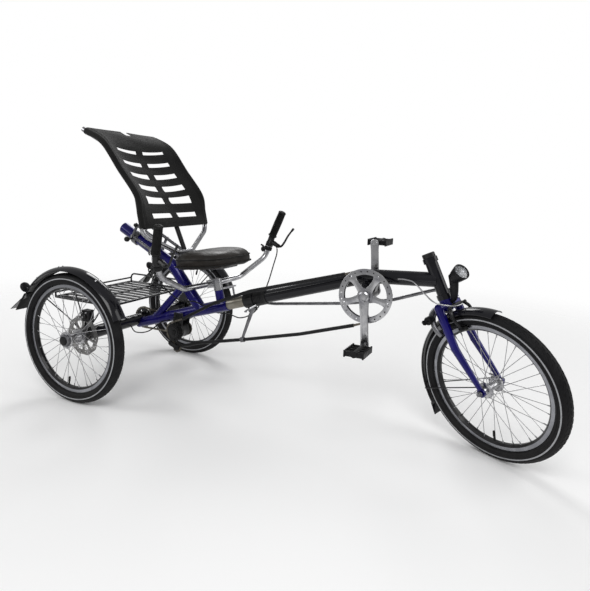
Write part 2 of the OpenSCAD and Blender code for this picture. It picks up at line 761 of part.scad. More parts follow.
module front_hub() { color([0.65, 0.65, 0.65]) at_front() hub(front_flange_r, front_flange_y, 14, front_axle_r + gap, 2 * blade_y - 9); }
module right_tyre() { at_rear(-1) tyre(); }
module right_rim() { at_rear(-1) rim(); }
module right_spokes() { at_rear(-1) spokes(rear_flange_r, rear_flange_y); }
module right_hub() { rear_hub(-1); }
module left_tyre() { at_rear(1) tyre(); }
module left_rim() { at_rear(1) rim(); }
module left_spokes() { at_rear(1) spokes(rear_flange_r, rear_flange_y); }
module left_hub() { rear_hub(1); }
module rear_hub(s) {
    color([0.3, 0.3, 0.31]) at_rear(s) {
        difference() {
            union() {
                hub(rear_flange_r, rear_flange_y, 20, stub_r + gap, 76);
                disc(80, 2, -s * 52);
                disc(24, 20, -s * 43);
            }
            disc(stub_r + gap, 200);
        }
        translate([0, s * 34, 0]) disc(17, 12, 0);
    }
}

// ---- cranks and pedals ----
arm_y_right = -69;
arm_y_left = 63;
module cranked(s) { translate([crank_axis.x, 0, crank_axis.z]) rotate([0, crank_lean, 0]) children(); }
module chainring() {
    color([0.7, 0.7, 0.7]) translate(crank_axis) rotate([0, crank_lean, 0]) {
        difference() {
            disc(chainring_r, 3, chain_y);
            disc(chainring_r - 16, 5, chain_y);
        }
        difference() {
            disc(chainring_r + 7, 2, chain_y - 7);
            disc(chainring_r - 14, 4, chain_y - 7);
        }
        for (i = [0 : 4]) rotate([0, i * 72 + 36, 0]) {
            translate([-7, chain_y - 7.7, 20]) cube([14, 5, chainring_r - 28]);
            translate([0, 0, chainring_r - 11]) disc(5, 9.1, chain_y - 3.3);
        }
        difference() {
            disc(27, 7, chain_y - 5.3);
            disc(13, 12, chain_y - 5.5);
        }
    }
}
module crank_arms() {
    color([0.72, 0.72, 0.72]) translate(crank_axis) rotate([0, crank_lean, 0]) {
        disc(12.5, -arm_y_right + arm_y_left, (arm_y_right + arm_y_left) / 2);
        for (s = [-1, 1]) {
            y = s > 0 ? arm_y_left : arm_y_right;
            disc(19, 13, y);
            translate([0, y + s * 3, s * crank_len]) disc(14, 12, 0);
            translate([-11, y - 6.5, s > 0 ? 10 : -crank_len]) cube([22, 13, crank_len - 10]);
        }
    }
}
pedal_gap = 2;
module pedal(s) {
    y0 = s > 0 ? arm_y_left + 9 : -arm_y_right + 9;
    translate(crank_axis + crank_up * s * crank_len) {
        disc(6, 14, s * (y0 + 7));
        translate([0, s * (y0 + 62), 0]) {
            disc(9, 96, 0);
            for (x = [-1, 1]) translate([x * 31 - 4, -45, -11]) cube([8, 90, 22]);
            for (y = [-45, 39]) translate([-31, y, -9]) cube([62, 6, 18]);
        }
    }
}
module pedal_right() { color([0.08, 0.08, 0.08]) pedal(-1); }
module pedal_left() { color([0.08, 0.08, 0.08]) pedal(1); }

// ---- seat ----
function super_r(a, b, n, t) = pow(pow(abs(cos(t)) / a, n) + pow(abs(sin(t)) / b, n), -1 / n);
module cushion_outline(inset) {
    a = cushion_half_l - inset;
    b = cushion_half_w - inset;
    polygon([for (i = [0 : 47]) let (t = i * 7.5, r = super_r(a, b, 3.2, t)) [r * cos(t), r * sin(t)]]);
}
module on_cushion() { translate(cushion_at) rotate([0, -cushion_tilt, 0]) children(); }
module seat_cushion() {
    color([0.1, 0.09, 0.08]) on_cushion() {
        translate([0, 0, 10]) linear_extrude(cushion_t - 20) cushion_outline(0);
        translate([0, 0, cushion_t - 10]) linear_extrude(10) cushion_outline(12);
        linear_extrude(10) cushion_outline(8);
    }
}

// A point beside the seat tube: s along it from its top end, up square to it
function on_seat_tube(s, up = 0, y = 0) = seat_top + seat_dir * s + [-seat_dir.z, 0, seat_dir.x] * up + [0, y, 0];
sleeve_start = 76;
sleeve_end = 206;
module seat_carrier() {
    color([0.3, 0.3, 0.31]) difference() {
        union() {
            for (s = [sleeve_start, sleeve_end - 24])
                bar(on_seat_tube(s), on_seat_tube(s + 24), seat_tube_d / 2 + 6);
            for (y = [-1, 1]) {
                bar(on_seat_tube(sleeve_start, 8, y * 34), on_seat_tube(sleeve_end, 8, y * 34), 6);
                bar(on_seat_tube(sleeve_start, 64, y * 34), on_seat_tube(372, 64, y * 34), 7);
                for (s = [sleeve_start + 8, sleeve_end - 8])
                    bar(on_seat_tube(s, 8, y * 34), on_seat_tube(s, 64, y * 34), 6);
            }
            bar(on_seat_tube(sleeve_start + 12, 0, -30), on_seat_tube(sleeve_start + 12, 0, -62), 4);
            on_cushion() translate([-134, -60, -6 - gap]) cube([204, 120, 6]);
            for (y = [-1, 1]) plate([[236, 562], [262, 549], [288, 512], [262, 500]], 6, y * 34);
            // saddle that clamps the backrest
            translate([back_path[0].x - 14, -38, back_path[0].z - 30]) cube([28, 76, 24]);
        }
        bar(on_seat_tube(-20), on_seat_tube(260), seat_tube_d / 2 + gap);
        backrest_tube(gap);
        on_cushion() translate([-cushion_half_l - 4, -200, -gap]) cube([400, 400, 100]);
    }
}

back_path = [[250, 46, 574.2], [208, back_half_w, 650], [178, back_half_w, 800], [14, back_half_w, 996],
    [-88, back_half_w, 1045]];
module backrest_tube(extra = 0) {
    bent_tube(concat([for (i = [len(back_path) - 1 : -1 : 0]) side(back_path[i], -1)], back_path),
        back_tube_d / 2 + extra, 45);
}
module backrest_frame() {
    color([0.7, 0.7, 0.7]) {
        backrest_tube();
        bar([-58, -back_half_w, 1030], [-58, back_half_w, 1030], 8);
        bar([250, 0, 574.2], [199, 0, 690], 7);
        bar([199, -back_half_w, 690], [199, back_half_w, 690], 7);
    }
}

// Sling stretched in front of the tubes, with two columns of slots
sling_line = [[208, 672], [196, 725], [178, 800], [96, 898], [14, 996], [-80, 1041]];
sling_off = back_tube_d / 2 + gap;
module backrest_sling() {
    function normal(i) = let (a = sling_line[max(0, i - 1)], b = sling_line[min(len(sling_line) - 1, i + 1)])
        unit([b.y - a.y, a.x - b.x]);
    outline = concat([for (i = [0 : len(sling_line) - 1]) sling_line[i] + normal(i) * sling_off],
        [for (i = [len(sling_line) - 1 : -1 : 0]) sling_line[i] + normal(i) * (sling_off + fabric_t)]);
    color([0.06, 0.06, 0.06]) difference() {
        plate(outline, 2 * back_half_w + 16);
        backrest_tube(gap);
    }
}

// ---- cables that cross a moving joint ----
function spline(p, i, t) = let (a = p[max(0, i - 1)], b = p[i], c = p[i + 1], d = p[min(len(p) - 1, i + 2)])
    0.5 * (2 * b + (c - a) * t + (2 * a - 5 * b + 4 * c - d) * t * t + (3 * b - a - 3 * c + d) * t * t * t);
module cord(points, r, steps = 4, sides = 8) {
    path = concat([for (i = [0 : len(points) - 2], j = [0 : steps - 1]) spline(points, i, j / steps)],
        [points[len(points) - 1]]);
    n = len(path);
    function tangent(i) = unit(path[min(n - 1, i + 1)] - path[max(0, i - 1)]);
    function ring(i, ref) = let (z = tangent(i), x = unit(cross(ref, z)), y = cross(z, x))
        [for (k = [0 : sides - 1]) path[i] + r * (x * cos(k * 360 / sides) + y * sin(k * 360 / sides))];
    verts = [for (i = [0 : n - 1], q = ring(i, [0.23, 0.9, 0.37])) q];
    polyhedron(verts, concat([[for (k = [0 : sides - 1]) k]],
        [for (i = [0 : n - 2], k = [0 : sides - 1]) let (m = (k + 1) % sides)
            [i * sides + k, (i + 1) * sides + k, (i + 1) * sides + m, i * sides + m]],
        [[for (k = [sides - 1 : -1 : 0]) (n - 1) * sides + k]]));
}
module cable_left() { color([0.04, 0.04, 0.04]) cord([in_bar(lever_clamp(1) + [40, 0, -23]), in_bar(lever_clamp(1) + [38, -5, -46]), [566, 182, 524], [589, 108, 484], [610, 42, 450], beside(640, 20, boom_d / 2 + cable_off + 6), beside(680, 20, boom_d / 2 + cable_off + 0.9), beside(720, 20, boom_d / 2 + cable_off + 0.4)], cable_r); }
module cable_right() { color([0.04, 0.04, 0.04]) cord([in_bar(shifter_clamp(-1) + [-34.9, 0, 0]), in_bar([-30, -285, 143]), in_bar([-62, -250, 100]), in_bar([-78, -180, 40]), [300, -95, 390], [336, -56, 385], beside(372, 150, main_r(372) + cable_off + 6), beside(402, 150, main_r(402) + cable_off + 0.9), beside(440, 150, main_r(440) + cable_off + 0.4)], cable_r); }
module cable_front() { color([0.04, 0.04, 0.04]) cord([[1140, -boom_d / 2 - cable_off - 0.3, 560.7], [1165, -boom_d / 2 - cable_off - 2, 561.5], [1195, -boom_d / 2 - cable_off - 9, 556], [1235, -58, 528], [1275, -74, 505], [1330, -60, 500], [1350, -30, 505]], cable_r); }

on_ground() main_tube();
on_ground() seat_tube();
on_ground() frame_brace();
on_ground() rear_axle();
on_ground() boom_inner();
on_ground() boom_clamp();
on_ground() boom();
on_ground() chain_tubes();
on_ground() chain_strut();
on_ground() drive_chain();
on_ground() mid_drive();
on_ground() derailleur();
on_ground() mudguard_right();
on_ground() mudguard_left();
on_ground() tail_lamps();
on_ground() rack();
on_ground() rear_brakes();
on_ground() frame_cables();
on_ground() handlebar();
on_ground() grips();
on_ground() brake_levers();
on_ground() shifters();
on_ground() steering_rod();
on_ground() fork();
on_ground() front_mudguard();
on_ground() headlight();
on_ground() ring_lock();
on_ground() front_brake();
on_ground() front_tyre();
on_ground() front_rim();
on_ground() front_spokes();
on_ground() front_hub();
on_ground() right_tyre();
on_ground() right_rim();
on_ground() right_spokes();
on_ground() right_hub();
on_ground() left_tyre();
on_ground() left_rim();
on_ground() left_spokes();
on_ground() left_hub();
on_ground() chainring();
on_ground() crank_arms();
on_ground() pedal_right();
on_ground() pedal_left();
on_ground() seat_cushion();
on_ground() seat_carrier();
on_ground() backrest_frame();
on_ground() backrest_sling();
on_ground() cable_left();
on_ground() cable_right();
on_ground() cable_front();
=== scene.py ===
import bpy, bmesh
from math import asin, atan2, cos, hypot, pi, radians as rad, sin, sqrt, tan
from mathutils import Matrix, Vector


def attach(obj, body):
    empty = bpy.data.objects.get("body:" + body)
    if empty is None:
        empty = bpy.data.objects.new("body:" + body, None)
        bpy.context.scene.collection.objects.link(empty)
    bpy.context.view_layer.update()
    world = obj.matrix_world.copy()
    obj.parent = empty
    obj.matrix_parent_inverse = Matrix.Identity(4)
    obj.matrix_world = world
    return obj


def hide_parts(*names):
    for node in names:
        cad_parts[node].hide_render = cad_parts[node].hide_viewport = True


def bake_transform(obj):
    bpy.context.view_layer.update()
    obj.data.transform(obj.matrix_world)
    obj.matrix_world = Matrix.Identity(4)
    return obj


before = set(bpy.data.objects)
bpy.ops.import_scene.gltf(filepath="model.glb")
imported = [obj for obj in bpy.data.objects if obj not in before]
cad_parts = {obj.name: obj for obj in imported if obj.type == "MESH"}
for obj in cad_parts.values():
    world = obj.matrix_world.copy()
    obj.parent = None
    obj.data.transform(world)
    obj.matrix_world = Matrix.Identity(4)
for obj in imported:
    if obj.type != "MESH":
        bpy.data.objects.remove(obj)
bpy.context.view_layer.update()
ops, scene = bpy.ops, bpy.context.scene

# sizes repeated from the part's source, in millimetres and degrees
trike = {"midX": 685.459, "axleZ": 253.0, "track": 745.5, "wheelbase": 1464.0, "headAngle": 64.6, "forkOffset": 45.0,
         "steer": -30.0, "steerRatio": 0.533, "slope": 17.2, "lineZ": 236.2, "crankX": 1040.0, "crankZ": 494.3,
         "crankLean": -4.7, "tyre": 253, "tyreMid": 228.5, "section": 24.5, "guardGap": 22}

print("camera and light")
cameraValues = {"place": (1565.10, -1768.66, 849.09), "yaw": 117.2067, "pitch": -10.2533, "roll": 1.9119,
                "lens": 532.224 * 36 / 591, "shift": (23.123 / 591, -12.841 / 591)}

def makeCamera(v):
    yaw, pitch, roll = rad(v["yaw"]), rad(v["pitch"]), rad(v["roll"])
    ahead = Vector((cos(pitch) * cos(yaw), cos(pitch) * sin(yaw), sin(pitch)))
    right = Vector((sin(yaw), -cos(yaw), 0))
    up = right.cross(ahead)
    across = cos(roll) * right + sin(roll) * up
    above = -sin(roll) * right + cos(roll) * up
    data = bpy.data.cameras.new("camera")
    data.lens, data.sensor_width = v["lens"], 36
    data.shift_x, data.shift_y = v["shift"]
    data.clip_start, data.clip_end = 0.05, 60
    camera = bpy.data.objects.new("camera", data)
    scene.collection.objects.link(camera)
    camera.matrix_world = Matrix((across, above, -ahead)).transposed().to_4x4()
    camera.location = Vector(((v["place"][0] - trike["midX"]) / 1000, v["place"][1] / 1000, v["place"][2] / 1000))
    scene.camera = camera

makeCamera(cameraValues)

def add(tree, kind, sockets={}, **settings):   # a new node with its settings and socket values
    node = tree.nodes.new("ShaderNode" + kind)
    for label, value in settings.items(): setattr(node, label, value)
    for socket, value in sockets.items(): node.inputs[socket].default_value = value
    return node

def wire(tree, *rows):   # each row joins one node's output to another's input
    for node, output, other, socket in rows: tree.links.new(node.outputs[output], other.inputs[socket])

def blank(name, sockets):   # a new material, and its shader with the given values
    material = bpy.data.materials.new(name)
    material.use_nodes = True
    shader = material.node_tree.nodes["Principled BSDF"]
    for socket, value in sockets.items(): shader.inputs[socket].default_value = value
    return material, shader

studio = {"floor": (0.93, 0.93, 0.93), "floorSize": 30, "floorZ": -0.0005, "sky": 0.42,
          "fade": {"From Min": 0.9, "From Max": 3.6, "To Min": 1.0, "To Max": 0.0},
          "lamps": [("keyLamp", (1.2, -2.6, 3.0), (0.1, 0, 0.4), 1.8, 54),
                    ("fillLamp", (3.2, 0.8, 2.2), (0.3, 0, 0.4), 2.2, 32),
                    ("backLamp", (-1.6, 2.4, 2.6), (-0.2, 0, 0.5), 1.6, 44),
                    ("sideLamp", (-2.6, -2.0, 1.8), (-0.5, 0, 0.4), 1.4, 24)]}

def makeStudio(v):
    world = bpy.data.worlds.new("studio")
    world.use_nodes = True
    scene.world = world
    tree, white = world.node_tree, (1, 1, 1, 1)
    dim, bright = tree.nodes["Background"], add(tree, "Background", {"Color": white, "Strength": 1.0})
    dim.inputs["Color"].default_value, dim.inputs["Strength"].default_value = white, v["sky"]
    mix, path = add(tree, "MixShader"), add(tree, "LightPath")
    wire(tree, (path, "Is Camera Ray", mix, "Fac"), (dim, 0, mix, 1), (bright, 0, mix, 2),
         (mix, 0, tree.nodes["World Output"], "Surface"))
    ops.object.select_all(action="DESELECT")
    ops.mesh.primitive_plane_add(size=v["floorSize"], location=(0, 0, v["floorZ"]))
    floor = bpy.context.object
    floor.name = "floor"
    paper, shader = blank("palePaper", {"Base Color": (*v["floor"], 1), "Roughness": 0.9, "Specular IOR Level": 0.1})
    tree = paper.node_tree   # the paper fades out far from the object
    place, reach = add(tree, "TexCoord"), add(tree, "VectorMath", operation="LENGTH")
    fade = add(tree, "MapRange", v["fade"], interpolation_type="SMOOTHSTEP")
    wire(tree, (place, "Object", reach, 0), (reach, "Value", fade, "Value"), (fade, "Result", shader, "Alpha"))
    floor.data.materials.append(paper)
    for name, place, aim, size, power in v["lamps"]:
        data = bpy.data.lights.new(name, "AREA")
        data.size, data.energy = size, power
        lamp = bpy.data.objects.new(name, data)
        scene.collection.objects.link(lamp)
        lamp.location = place
        lamp.rotation_euler = (Vector(aim) - Vector(place)).to_track_quat("-Z", "Y").to_euler()
    scene.view_settings.view_transform = "Standard"

makeStudio(studio)

def axes(x, y, z):   # the turn that takes local X, Y and Z to these
    return Matrix((x, y, z)).transposed().to_4x4()

# frames take local millimetres to the model's metres
def frameOf(origin, xAxis, zAxis):
    x, z = Vector(xAxis).normalized(), Vector(zAxis).normalized()
    turn = axes(x, z.cross(x), z)
    return Matrix.Scale(0.001, 4) @ Matrix.Translation(Vector(origin) - Vector((trike["midX"], 0, 0))) @ turn

leanBack, steerAngle = rad(90 - trike["headAngle"]), rad(trike["steer"])
drop = trike["tyreMid"] * sqrt(1 - (sin(steerAngle) * sin(leanBack)) ** 2) + trike["section"]
footZ = drop - trike["forkOffset"] * cos(steerAngle) * sin(leanBack)
footX = trike["wheelbase"] - trike["forkOffset"] * cos(leanBack)

def leaning(origin, lean, turn):   # frame leaned back by lean, then turned about its own Z
    return frameOf(origin, (cos(turn) * cos(lean), sin(turn), cos(turn) * sin(lean)),
                   (-sin(lean), 0, cos(lean)))

def on(x, y=0, z=0):
    return Matrix.Translation((x, y, z))

def about(axis, degrees):
    return Matrix.Rotation(rad(degrees), 4, axis)

def facing(way, side="Y"):   # the turn that takes local Z along way
    return Vector(way).to_track_quat("Z", side).to_matrix().to_4x4()

def polar(radius, angle):
    return radius * cos(angle), radius * sin(angle)

def onLine(x):   # a point on the main tube's middle line
    return Vector((x, 0, trike["lineZ"] + x * tan(rad(trike["slope"]))))

base = frameOf((0, 0, 0), (1, 0, 0), (0, 0, 1))
def tubePlace(x): return base @ on(*onLine(x)) @ about("Y", -trike["slope"])
forkPlace = leaning((footX, 0, footZ), leanBack, steerAngle)
barPlace = leaning((420, 0, 420), rad(13), steerAngle * trike["steerRatio"])
wheelPlace = {"right": base @ on(0, -trike["track"] / 2, trike["axleZ"]),
        "left": base @ on(0, trike["track"] / 2, trike["axleZ"]),
              "front": forkPlace @ on(trike["forkOffset"])}
wheelBody = {"right": "rear_wheel_right", "left": "rear_wheel_left", "front": "front_wheel"}
crankPlace = base @ on(trike["crankX"], 0, trike["crankZ"]) @ about("Y", trike["crankLean"])
cushionPlace = base @ on(396, 0, 527) @ about("Y", -6)
seatTop, seatDir = Vector((-77, 0, 652)), Vector((262, 0, -136)).normalized()
seatTubePlace = frameOf(seatTop, seatDir, (0.4607, 0, 0.8875))
across = about("X", -90)   # turns a lathe's Z into the axle's Y

print("finishes")
def group(name, wanted, given):   # an empty node group with its sockets
    tree = bpy.data.node_groups.new(name, "ShaderNodeTree")
    for label, value in wanted.items():
        kind = "NodeSocketVector" if label == "Place" else "NodeSocketFloat"
        socket = tree.interface.new_socket(label, in_out="INPUT", socket_type=kind)
        if value: socket.default_value = value
    for label in given: tree.interface.new_socket(label, in_out="OUTPUT", socket_type="NodeSocketFloat")
    return tree, tree.nodes.new("NodeGroupInput"), tree.nodes.new("NodeGroupOutput")

def grainGroup():   # fine surface grain and wide tone patches
    tree, came, out = group("surfaceGrain", {"Place": None, "Fine": 900, "Broad": 14}, ("Height", "Patch"))
    fine, broad = add(tree, "TexNoise", {"Detail": 3}), add(tree, "TexNoise", {"Detail": 5})
    patch = add(tree, "MapRange", {"From Min": 0.36, "From Max": 0.66})
    wire(tree, (came, "Place", fine, "Vector"), (came, "Place", broad, "Vector"), (came, "Fine", fine, "Scale"),
         (came, "Broad", broad, "Scale"), (broad, "Fac", patch, "Value"), (fine, "Fac", out, "Height"),
         (patch, "Result", out, "Patch"))
    return tree

def dustGroup():   # road dust that thickens towards the ground
    tree, came, out = group("roadDust", {"Place": None, "Reach": 0.4, "Amount": 0.3}, ("Dust",))
    split, spots = add(tree, "SeparateXYZ"), add(tree, "TexNoise", {"Scale": 60, "Detail": 6})
    fall = add(tree, "MapRange", {"From Min": 0, "To Min": 1, "To Max": 0})
    low, whole = add(tree, "Math", operation="MULTIPLY"), add(tree, "Math", operation="MULTIPLY")
    wire(tree, (came, "Place", split, 0), (came, "Place", spots, "Vector"), (split, "Z", fall, "Value"),
         (came, "Reach", fall, "From Max"), (fall, "Result", low, 0), (spots, "Fac", low, 1),
         (low, 0, whole, 0), (came, "Amount", whole, 1), (whole, 0, out, "Dust"))
    return tree

def weaveGroup():   # over-and-under threads of a cloth
    tree, came, out = group("threadWeave", {"Place": None, "Threads": 500}, ("Height", "Thread"))
    top, tone = add(tree, "Math", operation="MAXIMUM"), add(tree, "Math", operation="MULTIPLY")
    for number, direction in enumerate("XY"):
        wave = add(tree, "TexWave", bands_direction=direction)
        wire(tree, (came, "Place", wave, "Vector"), (came, "Threads", wave, "Scale"),
             (wave, "Fac", top, number), (wave, "Fac", tone, number))
    wire(tree, (top, 0, out, "Height"), (tone, 0, out, "Thread"))
    return tree

def hideGroup():   # pebbled hide; its second output, the distance from each pebble's middle, is used to paint shade into the creases between the pebbles
    tree, came, out = group("pebbledHide", {"Place": None, "Pebbles": 420}, ("Height", "Crease"))
    cells = add(tree, "TexVoronoi", feature="SMOOTH_F1")
    cells.inputs["Smoothness"].default_value = 0.5
    rise = add(tree, "MapRange", {"To Min": 1, "To Max": 0})
    wire(tree, (came, "Place", cells, "Vector"), (came, "Pebbles", cells, "Scale"),
            (cells, "Distance", rise, "Value"),
         (rise, "Result", out, "Height"), (cells, "Distance", out, "Crease"))
    return tree

groups = {"grain": grainGroup(), "dust": dustGroup(), "weave": weaveGroup(), "hide": hideGroup()}

# two tones, roughness from and to, scales of grain and patches, bump height; metal, coat and dust are 0 unless given
finishes = {
    "bluePaint": dict(colour=(0.0032, 0.0016, 0.088), second=(0.006, 0.003, 0.14), rough=(0.22, 0.34), metal=0.25,
    coat=0.45, fine=2600, bump=0.02, broad=18, dust=0.015, shine=0.16),
    "blackPaint": dict(colour=(0.003, 0.003, 0.005), second=(0.006, 0.006, 0.009), rough=(0.16, 0.28), coat=0.4,
    fine=1800, bump=0.02, broad=16, dust=0.012, shine=0.14),
    "polishedAlloy": dict(colour=(0.5, 0.5, 0.51), second=(0.3, 0.3, 0.32), rough=(0.16, 0.36), metal=1, fine=1400,
    bump=0.04, broad=30, dust=0.06),
    "castAlloy": dict(colour=(0.22, 0.22, 0.23), second=(0.14, 0.14, 0.15), rough=(0.32, 0.5), metal=1, fine=1100,
    bump=0.12, broad=40, dust=0.08),
    "spokeSteel": dict(colour=(0.44, 0.44, 0.45), second=(0.3, 0.3, 0.31), rough=(0.2, 0.36), metal=1, fine=2400,
    bump=0.03, broad=60, dust=0.05),
    "sandedAlloy": dict(colour=(0.36, 0.34, 0.29), second=(0.27, 0.25, 0.21), rough=(0.34, 0.5), metal=1, fine=1500,
    bump=0.08, broad=26, dust=0.02),
    "rimAlloy": dict(colour=(0.34, 0.345, 0.37), second=(0.24, 0.245, 0.265), rough=(0.24, 0.4), metal=1, fine=1500,
    bump=0.04, broad=30, dust=0.06),
    "discSteel": dict(colour=(0.26, 0.255, 0.25), second=(0.15, 0.148, 0.145), rough=(0.26, 0.42), metal=1, fine=1800,
    bump=0.06, broad=50, dust=0.03),
    "chainSteel": dict(colour=(0.22, 0.2, 0.17), second=(0.1, 0.09, 0.075), rough=(0.3, 0.55), metal=1, fine=1600,
    bump=0.08, broad=140, dust=0.1),
    "blackAlloy": dict(colour=(0.009, 0.009, 0.01), second=(0.018, 0.018, 0.019), rough=(0.3, 0.48), metal=0.3,
    coat=0.15, fine=1500, bump=0.08, broad=40, dust=0.03, shine=0.25),
    "tyreRubber": dict(colour=(0.005, 0.005, 0.006), second=(0.011, 0.011, 0.012), rough=(0.5, 0.66), fine=900,
    bump=0.12, broad=22, dust=0.05, shine=0.14),
    "gripRubber": dict(colour=(0.005, 0.005, 0.005), second=(0.011, 0.011, 0.011), rough=(0.5, 0.68), fine=1200,
    bump=0.14, broad=60, shine=0.16),
    "mouldedBlack": dict(colour=(0.005, 0.005, 0.006), second=(0.01, 0.01, 0.011), rough=(0.36, 0.52), fine=1300,
    bump=0.1, broad=50, dust=0.03, shine=0.2),
    "guardShell": dict(colour=(0.004, 0.004, 0.006), second=(0.008, 0.008, 0.011), rough=(0.14, 0.24), coat=0.45,
    fine=500, bump=0.02, broad=12, dust=0.03, shine=0.14),
    "redLens": dict(colour=(0.16, 0.004, 0.005), second=(0.1, 0.002, 0.003), rough=(0.1, 0.18), coat=0.8, fine=700,
    bump=0.02, broad=60),
    "reflexBand": dict(colour=(0.36, 0.365, 0.38), second=(0.27, 0.275, 0.29), rough=(0.3, 0.42), metal=0.2, coat=0.3,
    fine=2600, bump=0.05, broad=60, dust=0.05),
    "seatHide": dict(colour=(0.024, 0.02, 0.017), second=(0.014, 0.012, 0.0105), rough=(0.4, 0.55), fine=900,
    bump=0.22, broad=16, kind='hide', scale=520, shine=0.2),
    "slingMesh": dict(colour=(0.006, 0.006, 0.006), second=(0.014, 0.014, 0.0135), rough=(0.7, 0.85), fine=900,
    bump=0.35, broad=12, kind='weave', scale=260, shine=0.08)}

# the crease grey is multiplied into the colour: on the seat hide it is painted shade in the creases between pebbles,
# on the sling weave a darker thread pattern
shared = {"coatRough": 0.06, "sheen": 0.12, "creaseShadeAndThreadTone": (0.55, 0.55, 0.55, 1), "dust": (0.2, 0.18, 0.15, 1),
        "depth": 0.0006}

def makeFinish(name, v):
    kind = v.get("kind")
    material, shader = blank(name, {"Metallic": v.get("metal", 0), "Coat Weight": v.get("coat", 0),
                                    "Coat Roughness": shared["coatRough"], "Specular IOR Level": v.get("shine", 0.5)})
    if kind == "weave": shader.inputs["Sheen Weight"].default_value = shared["sheen"]
    tree = material.node_tree
    place = add(tree, "TexCoord")
    def pattern(kind, sockets, where="Object"):
        node = add(tree, "Group", sockets, node_tree=groups[kind])
        wire(tree, (place, where, node, "Place"))
        return node
    grain = pattern("grain", {"Fine": v["fine"], "Broad": v["broad"]})
    tone = add(tree, "Mix", {6: (*v["colour"], 1), 7: (*v["second"], 1)}, data_type="RGBA")
    rough = add(tree, "MapRange", {"To Min": v["rough"][0], "To Max": v["rough"][1]})
    wire(tree, (grain, "Patch", tone, "Factor"), (grain, "Patch", rough, "Value"))
    colour, height = (tone, 2), (grain, "Height")
    if kind:   # the weave follows the sheet's own map
        cloth = pattern(kind, {1: v["scale"]}, "UV" if kind == "weave" else "Object")
        # darkens the colour: on the hide this is painted shade in the creases between pebbles, on the weave it is the
        # thread pattern
        darker = add(tree, "Mix", {7: shared["creaseShadeAndThreadTone"]}, data_type="RGBA", blend_type="MULTIPLY")
        wire(tree, (cloth, 1, darker, "Factor"), (*colour, darker, 6))
        colour, height = (darker, 2), (cloth, "Height")
    if v.get("dust"):
        dust, dusty = pattern("dust", {"Amount": v["dust"]}), add(tree, "Mix", {7: shared["dust"]}, data_type="RGBA")
        wire(tree, (dust, "Dust", dusty, "Factor"), (*colour, dusty, 6))
        colour = (dusty, 2)
    bump = add(tree, "Bump", {"Strength": v["bump"], "Distance": shared["depth"]})
    wire(tree, (*height, bump, "Height"), (bump, "Normal", shader, "Normal"),
         (*colour, shader, "Base Color"), (rough, "Result", shader, "Roughness"))
    return material

coats = {name: makeFinish(name, values) for name, values in finishes.items()}
coats["lensGlass"] = blank("lensGlass", {"Base Color": (0.93, 0.95, 0.97, 1), "Transmission Weight": 0.9,
        "Roughness": 0.05})[0]

# each finish and the CAD nodes that take it
nodeFinish = {
    "bluePaint": "main_tube seat_tube frame_brace fork",
    "blackPaint": "rear_axle boom rack",
    "sandedAlloy": "boom_inner",
    "blackAlloy": "boom_clamp mid_drive derailleur brake_levers",
    "mouldedBlack": "chain_tubes frame_cables shifters headlight pedal_right pedal_left cable_left cable_right",
    "castAlloy": "chain_strut rear_brakes steering_rod ring_lock seat_carrier",
    "chainSteel": "drive_chain",
    "guardShell": "mudguard_right mudguard_left front_mudguard",
    "redLens": "tail_lamps",
    "polishedAlloy": "handlebar front_brake chainring crank_arms backrest_frame",
    "gripRubber": "grips",
    "seatHide": "seat_cushion",
    "slingMesh": "backrest_sling",
    "spokeSteel": "cable_front"}
for wheel in ("front", "right", "left"):
    for finishName, part in (("tyreRubber", "_tyre"), ("rimAlloy", "_rim"), ("spokeSteel", "_spokes"),
                             ("polishedAlloy" if wheel == "front" else "blackAlloy", "_hub")):
        nodeFinish[finishName] = nodeFinish.get(finishName, "") + " " + wheel + part
for finishName, nodes in nodeFinish.items():
    for node in nodes.split():
        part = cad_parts[node]
        if not part.material_slots: part.data.materials.append(coats[finishName])
        for slot in part.material_slots: slot.material = coats[finishName]

# modelling helpers: everything is made in local millimetres, then set in place
def clearAll():
    if bpy.context.object and bpy.context.object.mode != "OBJECT": ops.object.mode_set(mode="OBJECT")
    ops.object.select_all(action="DESELECT")

def called(name):
    piece = bpy.context.object
    piece.name = name; piece.data.name = name
    return piece

def editing(select=True):
    ops.object.mode_set(mode="EDIT")
    if select: ops.mesh.select_all(action="SELECT")

def done(piece):
    ops.object.mode_set(mode="OBJECT")
    return piece

def choose(piece):
    clearAll()
    piece.select_set(True); bpy.context.view_layer.objects.active = piece

def applied(piece, kind, **values):   # adds a modifier with its values and applies it
    modifier = piece.modifiers.new("shaping", kind)
    for label, value in values.items(): setattr(modifier, label, value)
    choose(piece)
    ops.object.modifier_apply(modifier=modifier.name)
    return piece

def turned(name, profile, steps=48):   # lathe about local Z of a closed ring of (radius, height)
    clearAll()
    ops.mesh.primitive_circle_add(vertices=len(profile), radius=1)
    piece = called(name)
    for vertex, (radius, height) in zip(piece.data.vertices, profile): vertex.co = (radius, 0, height)
    editing()
    ops.mesh.spin(steps=steps, angle=2 * pi, center=(0, 0, 0), axis=(0, 0, 1))
    ops.mesh.select_all(action="SELECT")
    ops.mesh.remove_doubles(threshold=0.001)
    ops.mesh.dissolve_degenerate(threshold=0.0005)
    ops.mesh.select_all(action="SELECT")
    ops.mesh.normals_make_consistent(inside=False)
    return done(piece)

def axled(name, profile, steps=48, place=None):   # lathed about the axle's Y
    return moved(turned(name, profile, steps), across if place is None else place @ across)

def block(name, size, at=(0, 0, 0), bevel=0.0, segments=2):
    clearAll()
    ops.mesh.primitive_cube_add(size=1, location=at, scale=size)
    piece = called(name)
    ops.object.transform_apply(location=True, rotation=True, scale=True)
    if bevel:
        editing()
        ops.mesh.bevel(offset=bevel, segments=segments, affect="EDGES")
        done(piece)
    return piece

